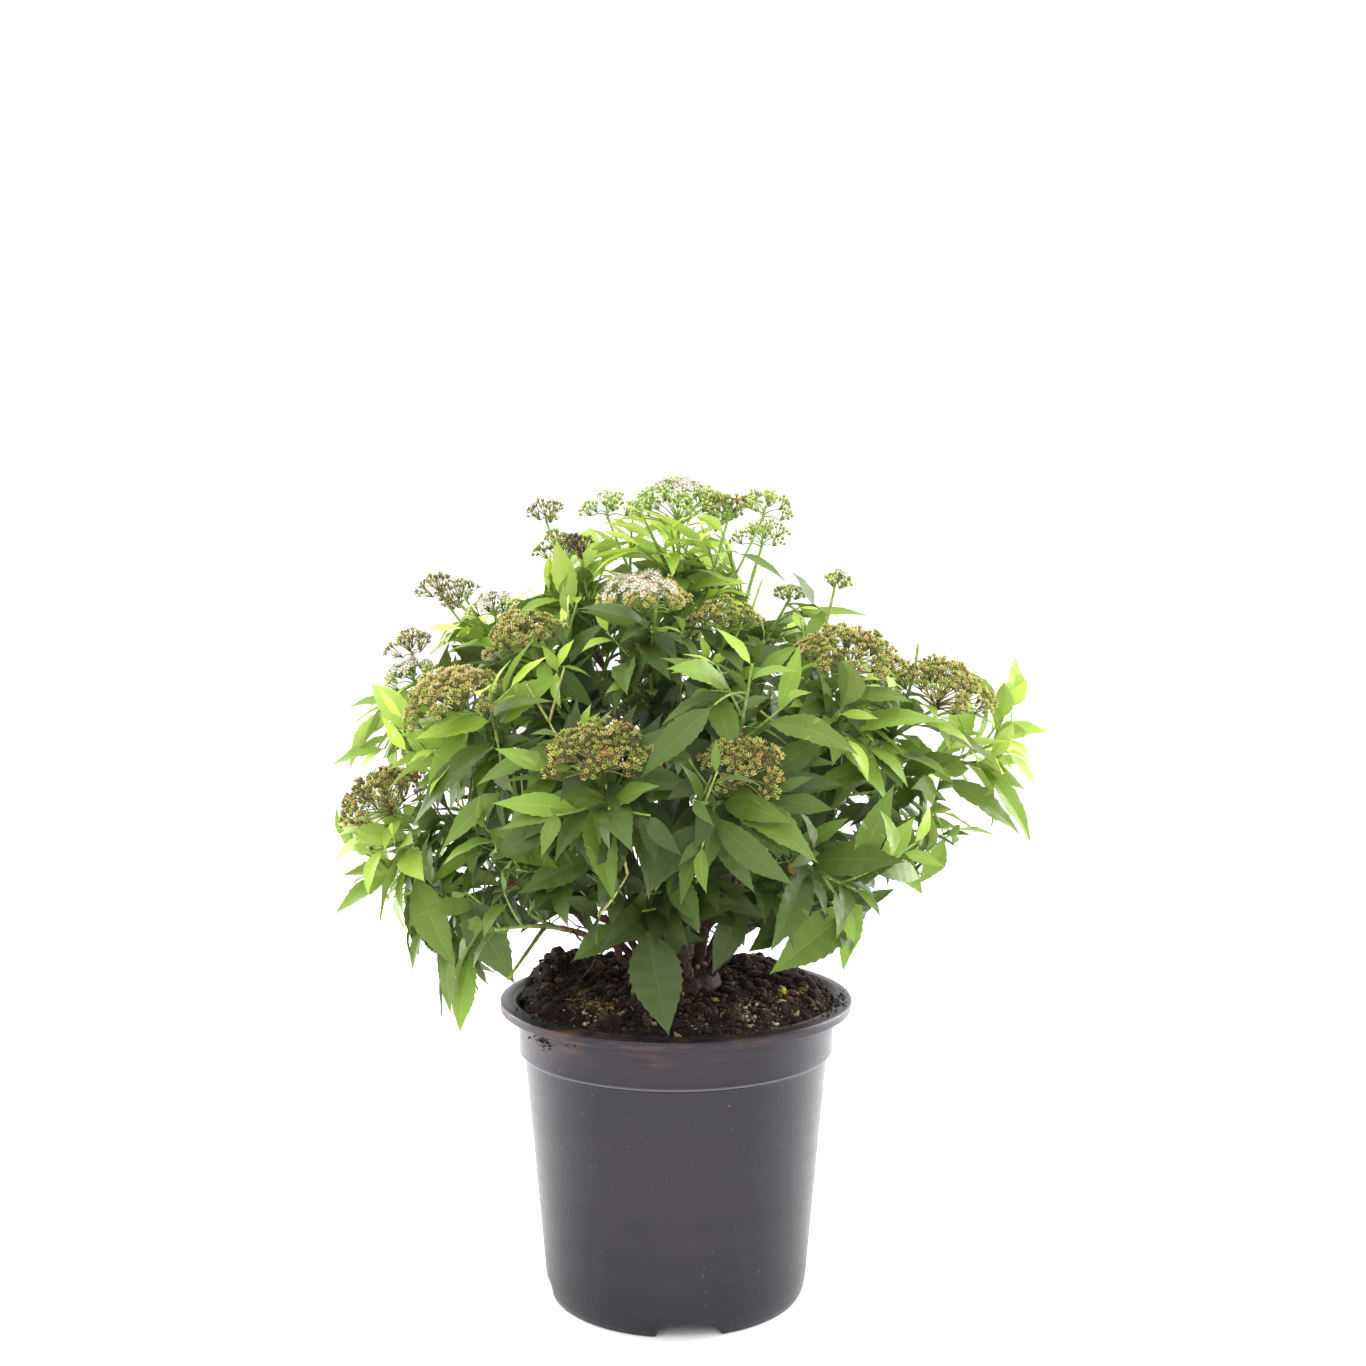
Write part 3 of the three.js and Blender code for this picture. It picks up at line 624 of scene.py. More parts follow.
moss = [
    strewn(crumb, patch(170, -58, 55, 7), 0.5, 1.3, 2),
    strewn(crumb, patch(110, 82, 74, 5), 0.4, 1.1, 2),
    strewn(shred, patch(14, 76, 60, 2.4), 1.0, 2.4),
]
moss[-1].finish += 2  # scraps of a green leaf


# %% [markdown]
# Wet peat is nearly black with a red-brown cast and no gloss to speak of, so it gets a roughness near 0.95
# and a coarse bump. Bark shreds are drier and paler. Perlite is a puffed volcanic glass, matt white like
# foam.

# %% Potting compost
def mottled(name, dark, pale, grain_mm=1.4, depth_mm=0.5, rough=0.95, stretch=(1, 1, 1)):
    """Matt natural matter: two colours in grains of this size, and a relief of the same grain."""
    material, tree = new_material(name)
    place = add_node(tree, "TexCoord").outputs["Object"]
    place = add_node(tree, "Mapping", {"Vector": place, "Scale": stretch})
    grain = add_node(tree, "TexNoise", {"Vector": place, "Scale": 1 / (grain_mm * MM), "Detail": 4})
    share = add_node(tree, "MapRange", {"Value": grain, "From Min": 0.4, "From Max": 0.62})
    tone = add_node(tree, "Mix", {0: share, 6: srgb(dark), 7: srgb(pale)}, data_type="RGBA")
    bump = add_node(tree, "Bump", {"Height": grain, "Distance": depth_mm * MM, "Strength": 1.0})
    finish = {"Base Color": tone, "Roughness": rough, "IOR": 1.4, "Normal": bump}
    add_node(tree, "OutputMaterial", {"Surface": add_node(tree, "BsdfPrincipled", finish)})
    return material


peat_finishes = [
    mottled("moist_peat", "#110b0b", "#2a1d1a"),
    mottled("peat_crumb", "#1c1212", "#3f2d28"),
    mottled("peat_fibre", "#2d1e1b", "#5d4836"),
]
bark_shred_finishes = [
    mottled("composted_bark", "#3a281e", "#6d4f3a"),
    mottled("dry_bark", "#7c6344", "#b39a70"),
    mottled("red_bark", "#3a2320", "#74493a"),
]
moss_finishes = [
    mottled("wet_moss", "#46481f", "#747132"),
    mottled("pale_moss", "#6c6a3a", "#9a935a"),
    mottled("leaf_scrap", "#93aa3c", "#c0d150"),
]
perlite_finishes = [mottled("expanded_perlite", "#a89f92", "#d3ccc0")]
joined_piece("compost_bed", [bed], peat_finishes[:1], ["soil"])
joined_piece("peat_crumbs", peat, peat_finishes)
joined_piece("bark_shreds", bark_shreds, bark_shred_finishes)
joined_piece("perlite_grains", perlite, perlite_finishes)
joined_piece("moss_tufts", moss, moss_finishes)

# %% [markdown]
# ## How the shrub grows
#
# The solids were grown by a small set of rules, and the finished plant follows the same ones, so that every
# stem, shoot and flower head is where its solid is. Stems rise from three rings on the root crown and arch
# out to the tip of their mass. Each mass keeps to the space that is nearer to its own heart than to any
# other.

# %% The plant's sizes, in millimetres
GAP = 0.3
STEM = SimpleNamespace(foot=2.1, tip=0.9, bough=0.42, clearance=2.4, step=28, heart=0.86)
STEM.bend, STEM.bend_lift = [0.42, 0.42, 0.62], 14
STEM_RINGS = [(0, 0.74, 21, 8), (0.74, 1.5, 15.5, 12), (1.5, math.inf, 9, 15)]  # slopes, radius, height
SHOOT = SimpleNamespace(shortest=54, longest=80, first=0.14, last=0.84, foot=1.15, heads=0.65)
SHOOT.ahead, SHOOT.outward, SHOOT.lift, SHOOT.curl, SHOOT.room = 0.7, 0.45, 0.12, 0.06, 16
SHOOT.tries = [1, 0.85, 0.7, 0.55, 0.4]  # shares of its length
HEAD_DEPTH = 0.6  # height of a flower head's cone of stalks, as a share of its radius
HEAD_LEAN = 0.5  # how far the heads lean outwards
CROWN = SimpleNamespace(
    centre=np.array([8.0, 0, 92]),
    radii=np.array([193.0, 188, 184]),
    shoulder=np.array([-0.57, 0, -0.82]),
    shoulder_room=248,
    skirt_reach=112,
    skirt_skew=30,
    skirt_slope=0.85,
)

# %% Every mass
# Each mass: its bearing from the front, how far out and how high its leading shoot ends, the radius of the
# flower head there (0 for a leafy tip), how many side shoots it tries to grow, and what its heads are like.
# Heads of the pale kind, on the shoulders and the right side, have lighter tones as painted light, where the
# lamps fall.
MASSES = [
    ("front_left", -13, 148, 147, 24, 4, "seed"),
    ("front_right", 12, 148, 140, 20, 4, "seed"),
    ("left_front", -50, 138, 168, 24, 3, "rosy"),
    ("left_low", -72, 152, 114, 24, 3, "seed"),
    ("left", -93, 141, 171, 15, 3, "bloom"),
    ("left_spire", -103, 122, 212, 12, 2, "faded"),
    ("shoulder_left", -50, 96, 196, 20, 3, "pale"),
    ("top_left", -112, 68, 240, 13, 3, "olive"),
    ("top_front", -14, 66, 214, 22, 3, "fading"),
    ("top", 10, 8, 262, 27, 4, "bud"),
    ("top_right", 22, 68, 203, 17, 3, "olive"),
    ("top_back", 135, 68, 246, 15, 3, "bud"),
    ("shoulder_right", 54, 106, 186, 26, 3, "pale"),
    ("right", 76, 139, 168, 26, 4, "pale"),
    ("right_tip", 90, 176, 132, 0, 3, "bud"),
    ("back_right", 124, 136, 150, 23, 3, "seed"),
    ("back", 170, 140, 148, 25, 4, "rosy"),
    ("back_left", -146, 140, 166, 23, 3, "seed"),
    ("shoulder_back", -168, 88, 216, 21, 3, "bloom"),
    ("front_middle_left", -26, 126, 92, 0, 4, "bud"),
    ("front_middle_right", 30, 126, 94, 0, 4, "bud"),
    ("skirt_front_left", -42, 130, 50, 0, 3, "bud"),
    ("skirt_front", 0, 114, 80, 0, 4, "bud"),
    ("skirt_front_right", 44, 112, 60, 0, 4, "bud"),
    ("skirt_left", -84, 146, 74, 0, 3, "bud"),
    ("skirt_right", 80, 142, 98, 0, 3, "bud"),
    ("skirt_back_right", 150, 128, 66, 0, 4, "bud"),
    ("skirt_back_left", -144, 130, 62, 0, 4, "bud"),
]

# Small sprays that branch off a leading shoot: the mass, bearing, reach and height of the spray, its radius
# and what it is like.
SPRAY = SimpleNamespace(start=0.5, sag=0.6, foot=0.9)  # where on the shoot it starts, bend, foot radius
SPRAYS = [
    ("shoulder_left", -70, 99, 208, 13, "bloom"),
    ("top_left", -78, 51, 237, 9, "dry"),
    ("shoulder_right", 66, 90, 222, 7, "bud"),
    ("top", -78, 37, 261, 14, "bud"),
    ("top", 118, 54, 262, 15, "bud"),
    ("top", 50, 36, 259, 12, "olive"),
    ("left_spire", -101, 132, 217, 10, "faded"),
    ("left", -92, 142, 185, 12, "faded"),
    ("top_left", -105, 73, 257, 10, "faded"),
]


# %% Seeded numbers, curves and lines
def seeded(seed):
    """Numbers from 0 to 1 that are the same on every run, one for each call."""
    state = (seed * 7919 + 104729) % 2147483647

    def draw():
        nonlocal state
        state = state * 48271 % 2147483647
        return state / 2147483647

    return draw


class Line:
    """Straight steps between points, read by a share of the whole length."""

    def __init__(self, points):
        self.points = np.asarray(points)
        self.steps = np.diff(self.points, axis=0)
        self.reach = np.concatenate([[0], np.cumsum(np.linalg.norm(self.steps, axis=1))])
        self.length = self.reach[-1]

    def at(self, share):
        along = np.multiply(share, self.length)
        return np.stack([np.interp(along, self.reach, self.points[:, k]) for k in range(3)], axis=-1)

    def way(self, share):
        step = np.searchsorted(self.reach, share * self.length, side="right") - 1
        return unit(self.steps[min(max(step, 0), len(self.steps) - 1)])


def arc(foot, bend, tip):
    """A curve from foot to tip that is pulled towards a bend, as two hundred short steps."""
    t = np.linspace(0, 1, 201)[:, None]
    return Line((1 - t) ** 2 * foot + 2 * t * (1 - t) * bend + t**2 * tip)


def stepped(curve, start=0.0):
    """A curve as the long straight steps that its solid has."""
    steps = max(1, int(curve.length * (1 - start) / STEM.step + 0.5))
    return Line(curve.at(np.linspace(start, 1, steps + 1)))


# %% Plan the stems
def around(bearing, reach, height):
    return np.array([reach * math.sin(bearing), -reach * math.cos(bearing), height])


def stem_radius(share):
    return STEM.foot + (STEM.tip - STEM.foot) * share


def plan_stems():
    """Every mass with the curve of its whole stem, from the root crown to its tip."""
    stems = []
    for number, (name, bearing, reach, height, head, shoots, kind) in enumerate(MASSES):
        turn = math.radians(bearing)
        tip = around(turn, reach, height - HEAD_DEPTH * head)
        stem = SimpleNamespace(name=name, number=number, bearing=turn, slope=height / reach, tip=tip)
        stem.head, stem.shoots, stem.kind = head, shoots, kind
        stems.append(stem)
    for above, below, radius, height in STEM_RINGS:
        ring = sorted((s for s in stems if above < s.slope <= below), key=lambda s: s.bearing)
        spacing = TURN / len(ring)
        turn = sum(s.bearing - i * spacing for i, s in enumerate(ring)) / len(ring)
        for i, stem in enumerate(ring):
            stem.foot = around(turn + i * spacing, radius, height)
            bend = stem.foot + (stem.tip - stem.foot) * STEM.bend + STEM.bend_lift * UP
            stem.curve = arc(stem.foot, bend, stem.tip)
            stem.heart = stem.curve.at(STEM.heart)
    return stems


stems = plan_stems()
hearts = np.array([stem.heart for stem in stems])
print("stems:", len(stems), "longest:", round(max(stem.curve.length for stem in stems)), "mm")


# %% [markdown]
# A shoot or leaf may only grow where it fits: inside the crown's outline, on its own side of the planes half
# way to every other mass, and clear of the other stems. All of those tests take many points at once.

# %% Where a mass may grow
STEM_PIECES = 14
# How far each kind keeps from the next mass's space. Leaves on twigs may cross into it, to fill gaps.
CLEAR = SimpleNamespace(solid=2, head=0.5, twig=1, shoot_leaf=0.3, twig_leaf=-12)
OVER_GROUND, OVER_SLOPE = 2, 2.2  # the plant keeps this far above the compost, and more on its slope
RIM_INSIDE, PAST_RIM, LOWEST = 80.8, 3, -40  # it keeps above the rim, and may hang down beside the pot


def stem_lines():
    """Every stem as short straight pieces, with their radius and the mass that needn't keep clear of them."""
    shares = np.arange(STEM_PIECES + 1) / STEM_PIECES
    starts = [stem.curve.at(shares[:-1]) for stem in stems]
    ends = [stem.curve.at(shares[1:]) for stem in stems]
    radii = [stem_radius(shares[:-1]) for _ in stems]
    owners = [np.where(shares[:-1] > STEM.bough, stem.number, -1) for stem in stems]
    return (np.concatenate(group) for group in (starts, ends, radii, owners))


LINE_START, LINE_END, LINE_RADIUS, LINE_OWNER = stem_lines()
LINE_STEP = LINE_END - LINE_START


def ground_height(reach):
    slope = BED.shoulder_height / (BED.shoulder - BED.top)
    height = np.minimum(0, (reach - BED.top) * slope) + OVER_SLOPE
    height = np.where(reach < BED.top, 0, height)
    height = np.where(reach > RIM_INSIDE, RIM_HEIGHT - GROUND, height)
    return np.where(reach > RIM_RADIUS + PAST_RIM, LOWEST, height)


def in_crown(points):
    reach = np.hypot(points[:, 0], points[:, 1])
    lean = CROWN.skirt_skew * points[:, 0] / np.maximum(reach, 1)
    skirt = CROWN.skirt_slope * (reach - CROWN.skirt_reach + lean)
    above = points[:, 2] >= np.maximum(ground_height(reach) + OVER_GROUND, skirt)
    under = points @ CROWN.shoulder + CROWN.shoulder_room > 0
    inside = np.linalg.norm((points - CROWN.centre) / CROWN.radii, axis=1) < 1
    return bool((above & under & inside).all())


def in_space(points, number, clear):
    apart = np.delete(hearts, number, axis=0) - hearts[number]
    middle = hearts[number] + apart / 2
    side = np.einsum("pmk,mk->pm", middle - points[:, None], unit(apart))
    return bool((side > clear).all())


def clear_of_stems(points, number):
    others = LINE_OWNER != number
    start, step = LINE_START[others], LINE_STEP[others]
    along = np.einsum("pmk,mk->pm", points[:, None] - start, step) / (step**2).sum(axis=1)
    nearest = start + np.clip(along, 0, 1)[:, :, None] * step
    distance = np.linalg.norm(points[:, None] - nearest, axis=2)
    return bool((distance > LINE_RADIUS[others] + STEM.clearance).all())


def fits(points, number, clear):
    return in_crown(points) and in_space(points, number, clear) and clear_of_stems(points, number)


# %% Side shoots, as the solids have them
def outward_at(point):
    out = (point - CROWN.centre) / CROWN.radii
    out[2] = max(out[2], -0.15) + 0.1
    return unit(out)


def away_from(tangent, angle):
    """A direction square to a tangent, turned about it from the level."""
    level = unit(np.cross(tangent, UP))
    return level * math.cos(angle) + np.cross(tangent, level) * math.sin(angle)


def new_shoot(curve, head, foot, kind):
    return SimpleNamespace(curve=curve, path=stepped(curve), head=head, foot=foot, kind=kind)


def branch_tries(root, tangent, turn, length, rule):
    """Curves for a side branch, each shorter than the last, with a point beyond the tip that must be free."""
    way = away_from(tangent, turn) + rule.ahead * tangent
    way = unit(way + rule.outward * outward_at(root))
    for share in rule.tries:
        tip = root + way * share * length + UP * rule.lift * length
        bend = root + way * 0.5 * share * length + tangent * rule.curl * length
        yield arc(root, bend, tip), tip + rule.room * way


def grow_shoots(stem, lead):
    """The side shoots of a mass. One that has no room is made shorter, and then left out."""
    draw = seeded(100 * (stem.number + 1))
    turn = TURN * draw()
    shoots = []
    for i in range(stem.shoots):
        length = SHOOT.shortest + (SHOOT.longest - SHOOT.shortest) * draw()
        head = stem.head * (0.5 + 0.2 * draw()) if draw() < SHOOT.heads else 0
        at = SHOOT.first + (SHOOT.last - SHOOT.first) * (i + 0.5) / stem.shoots
        root, tangent = lead.path.at(at), lead.path.way(at)
        for curve, beyond in branch_tries(root, tangent, turn + i * GOLDEN_ANGLE, length, SHOOT):
            shoot = new_shoot(curve, head, SHOOT.foot, stem.kind)
            if fits(np.vstack([shoot.path.points, beyond]), stem.number, CLEAR.solid):
                shoots.append(shoot)
                break
    return shoots


# %% Flower heads, as the solids have them
def grow_heads(stem, twigs):
    """A flower head at the end of each shoot that has one and room for it."""
    heads = []
    for twig in twigs:
        if twig.head <= 0:
            continue
        tip = twig.path.points[-1]
        axis = unit(UP + HEAD_LEAN * outward_at(tip))
        centre = tip + axis * HEAD_DEPTH * twig.head
        rim = np.array([around(i * TURN / 8, twig.head, 0) for i in range(8)]) + centre
        apart = all(np.linalg.norm(h.centre - centre) > h.radius + twig.head for h in heads)
        if twig is twigs[0] or (apart and fits(rim, stem.number, CLEAR.head)):
            heads.append(SimpleNamespace(tip=tip, axis=axis, centre=centre, radius=twig.head, kind=twig.kind))
        else:
            twig.head = 0
    return heads


def side_sprays(stem, lead):
    """The small sprays that branch off this mass's leading shoot."""
    sprays = []
    for name, bearing, reach, height, radius, kind in SPRAYS:
        if name == stem.name:
            tip = around(math.radians(bearing), reach, height - HEAD_DEPTH * radius)
            root = lead.curve.at(SPRAY.start)
            bend = root + 0.5 * (tip - root) * [1, 1, SPRAY.sag]
            sprays.append(new_shoot(arc(root, bend, tip), radius, SPRAY.foot, kind))
    return sprays


# %% Grow every mass
def grow_mass(stem):
    start = STEM.bough + GAP / stem.curve.length
    part = Line(stem.curve.at(np.linspace(start, 1, 120)))
    lead = new_shoot(part, stem.head, stem_radius(STEM.bough), stem.kind)
    lead.path = stepped(stem.curve, start)
    shoots = [lead] + grow_shoots(stem, lead)
    heads = grow_heads(stem, shoots)
    for spray in side_sprays(stem, lead):
        shoots.append(spray)
        heads += grow_heads(stem, [spray])
    return SimpleNamespace(stem=stem, shoots=shoots, heads=heads, twigs=[], leaves=[])


masses = [grow_mass(stem) for stem in stems]
heads = [head for mass in masses for head in mass.heads]
mass_nodes = ["mass_" + stem.name for stem in stems]
print("shoots:", sum(len(mass.shoots) for mass in masses), "heads:", len(heads))


# %% [markdown]
# From here on the rule is carried further than the solids go. Every shoot gets short leafy twigs of its own,
# and the leaves stand closer and at their true size, so that the crown closes up as a real one does. The
# twigs and leaves also keep under the crown's own roof line, above its eaves, and out of the light that falls
# on the flower heads, so that the heads stand free on top.

# %% The outline of the foliage
ROOF = np.array([  # millimetres to the right of the pot's middle, and above the compost
    (-183, 128), (-160, 165), (-126, 196), (-90, 206), (-76, 220), (-65, 238), (-38, 258), (26, 258),
    (34, 228), (48, 194), (58, 203), (70, 221), (85, 202), (102, 186), (131, 172), (166, 172), (190, 160),
])  # fmt: skip
EAVES = np.array([
    (-183, 52), (-148, 40), (-138, 5), (-118, -26), (-101, -22), (-91, 8), (-80, 33), (-58, 37), (-45, 24),
    (0, 22), (50, 20), (84, 18), (98, 40), (113, 52), (145, 73), (188, 84),
])  # fmt: skip
EAVES_SLOPE = 0.18  # they are higher in front and lower at the back
HEAD_LIGHT = SimpleNamespace(reach=1.05, below=0.3, above=40)


def in_outline(points):
    below_roof = points[:, 2] < np.interp(points[:, 0], *ROOF.T)
    above_eaves = points[:, 2] > np.interp(points[:, 0], *EAVES.T) - EAVES_SLOPE * points[:, 1]
    return bool((below_roof & above_eaves).all())


HEAD_CENTRES = np.array([head.centre for head in heads])
HEAD_AXES = np.array([head.axis for head in heads])
HEAD_RADII = np.array([head.radius for head in heads])


def shades_a_head(points):
    apart = points[:, None] - HEAD_CENTRES
    above = np.einsum("phk,hk->ph", apart, HEAD_AXES)
    aside = np.linalg.norm(apart - above[:, :, None] * HEAD_AXES, axis=2)
    over = (above > -HEAD_LIGHT.below * HEAD_RADII) & (above < HEAD_LIGHT.above)
    return bool((over & (aside < HEAD_LIGHT.reach * HEAD_RADII)).any())


# %% Finer twigs
TWIG = SimpleNamespace(spacing=13, shortest=18, longest=42, first=12, foot=0.75, bare_tip=8, under_head=14)
TWIG.ahead, TWIG.outward, TWIG.lift, TWIG.curl, TWIG.room = 0.75, 0.5, 0.1, 0.05, 6
TWIG.tries = [1, 0.75, 0.55]  # shares of its length


def grow_twigs(stem, parent, seed):
    """Short leafy twigs along a shoot."""
    draw = seeded(seed)
    turn = TURN * draw()
    last = parent.curve.length - (TWIG.under_head if parent.head else TWIG.bare_tip)
    twigs = []
    for i, along in enumerate(np.arange(TWIG.first, last, TWIG.spacing)):
        at = along / parent.curve.length
        root, tangent = parent.curve.at(at), parent.curve.way(at)
        length = TWIG.shortest + (TWIG.longest - TWIG.shortest) * draw()
        for curve, beyond in branch_tries(root, tangent, turn + i * GOLDEN_ANGLE, length, TWIG):
            points = np.vstack([curve.at([0.4, 0.7, 1.0]), beyond])
            if fits(points, stem.number, CLEAR.twig) and in_outline(points) and not shades_a_head(points):
                twigs.append(new_shoot(curve, 0, TWIG.foot, stem.kind))
                break
    return twigs


# %% [markdown]
# A spirea leaf is a pointed lance with forward teeth, folded a little along its midrib and arched towards the
# tip. Its surface is worked out from two numbers, u along it and v across it, so the same function gives both
# the few points that test whether it fits and the fine mesh of the finished leaf.

# %% A leaf's surface
LEAF = SimpleNamespace(length=64, shortest=0.64, slim=0.28, broad=0.36, petiole=0.07, roll=0.7, clearance=1.7)
LEAF.foot_power, LEAF.tip_power, LEAF.peak = 0.9, 1.42, 0.2127  # its outline, and the widest that gives
LEAF.petiole_half, LEAF.least_half = 0.045, 0.006
LEAF.camber, LEAF.waves, LEAF.unfolding, LEAF.skyward = 0.1, 2.4, 0.5, 0.55
SLIMMER_TOP = ([195, 235], [1, 0.72])  # between these heights the leaves get slimmer
LEAF_TRIES = [(0, 1), (0.4, 1), (-0.4, 1), (0.8, 0.9), (-0.8, 0.9), (1.2, 0.8), (-1.2, 0.7), (0.2, 0.55)]
LEAF_FIELDS = "root along across upper length width arch fold twist wave phase".split()
VEINS = SimpleNamespace(pairs=7, slant=0.16, height=0.2, raised=0.5, edge=1.15)


def leaf_half(u):
    """Half the width at a share of the length, as a share of the widest half."""
    blade = np.clip((u - LEAF.petiole) / (1 - LEAF.petiole), 0, 1)
    outline = blade**LEAF.foot_power * (1 - blade) ** LEAF.tip_power / LEAF.peak
    return np.maximum(outline, np.where(u < 0.5, LEAF.petiole_half, LEAF.least_half))


def leaf_surface(leaves, u, v):
    """Points of many leaves, and the way their upper side faces there."""
    columns = [np.stack([getattr(leaf, name) for leaf in leaves])[:, None] for name in LEAF_FIELDS]
    root, along, across_it, upper, length, width, arch, fold, twist, wave, phase = columns
    bent = arch * u
    half = 0.5 * width * leaf_half(u)
    fold = fold * (1 - LEAF.unfolding * u)
    ripple = np.sin(TURN * LEAF.waves * u + phase) * v**2 * wave
    bulges = np.sin(TURN * VEINS.pairs * (u - VEINS.slant * np.abs(v))) + VEINS.raised  # between sunken veins
    bulges = VEINS.height * bulges * np.abs(v) * (VEINS.edge - np.abs(v))
    aside = v * half * np.cos(fold)
    lift = half * (np.abs(v) * np.sin(fold) - LEAF.camber * v**2 + ripple + bulges)
    cos, sin = np.cos(twist * u), np.sin(twist * u)
    aside, lift = aside * cos - lift * sin, aside * sin + lift * cos
    facing = upper * np.cos(bent)[..., None] + along * np.sin(bent)[..., None]
    ahead, fallen = length / arch * np.sin(bent), length / arch * (1 - np.cos(bent))
    points = root + along * ahead[..., None] - upper * fallen[..., None]
    return points + across_it * aside[..., None] + facing * lift[..., None], facing


TEST_U = np.append(np.repeat([0.2, 0.36, 0.52, 0.68, 0.84], 5), 1.0)
TEST_V = np.append(np.tile([-1, -0.5, 0, 0.5, 1], 5), 0.0)
MIDDLE = 12  # the test point in the middle of the leaf


def new_leaf(root, along, outward, roll, length, draw):
    """One leaf. Its upper side looks outwards and up, rolled about the midrib."""
    level = unit(np.cross(outward + LEAF.skyward * UP, along))
    across = level * math.cos(roll) + np.cross(along, level) * math.sin(roll)
    leaf = SimpleNamespace(root=root, along=along, across=across, length=length)
    leaf.upper = np.cross(along, across)
    leaf.width = length * (LEAF.slim + (LEAF.broad - LEAF.slim) * draw()) * np.interp(root[2], *SLIMMER_TOP)
    leaf.arch = 0.3 + 0.85 * draw()
    leaf.fold = 0.16 + 0.42 * draw()
    leaf.twist = 0.8 * (draw() - 0.5)
    leaf.wave = 0.03 + 0.08 * draw()
    leaf.phase = TURN * draw()
    leaf.tint = None
    return leaf


# %% Room for a leaf
MOST_LEAVES = 4000
TAKEN = SimpleNamespace(points=np.zeros((MOST_LEAVES, len(TEST_U), 3)), count=0)  # every leaf's test points


def add_leaf(mass, twig, leaf, age):
    leaf.twig, leaf.age = twig, age
    mass.leaves.append(leaf)
    TAKEN.points[TAKEN.count] = leaf.test
    TAKEN.count += 1


def has_room(points, stem, clear):
    if not in_outline(points) or not fits(points, stem.number, clear) or shades_a_head(points):
        return False
    taken = TAKEN.points[: TAKEN.count]
    near = taken[np.abs(taken[:, MIDDLE] - points[MIDDLE]).max(axis=1) < LEAF.length].reshape(-1, 3)
    return bool((np.linalg.norm(points[:, None] - near, axis=2) > LEAF.clearance).all())
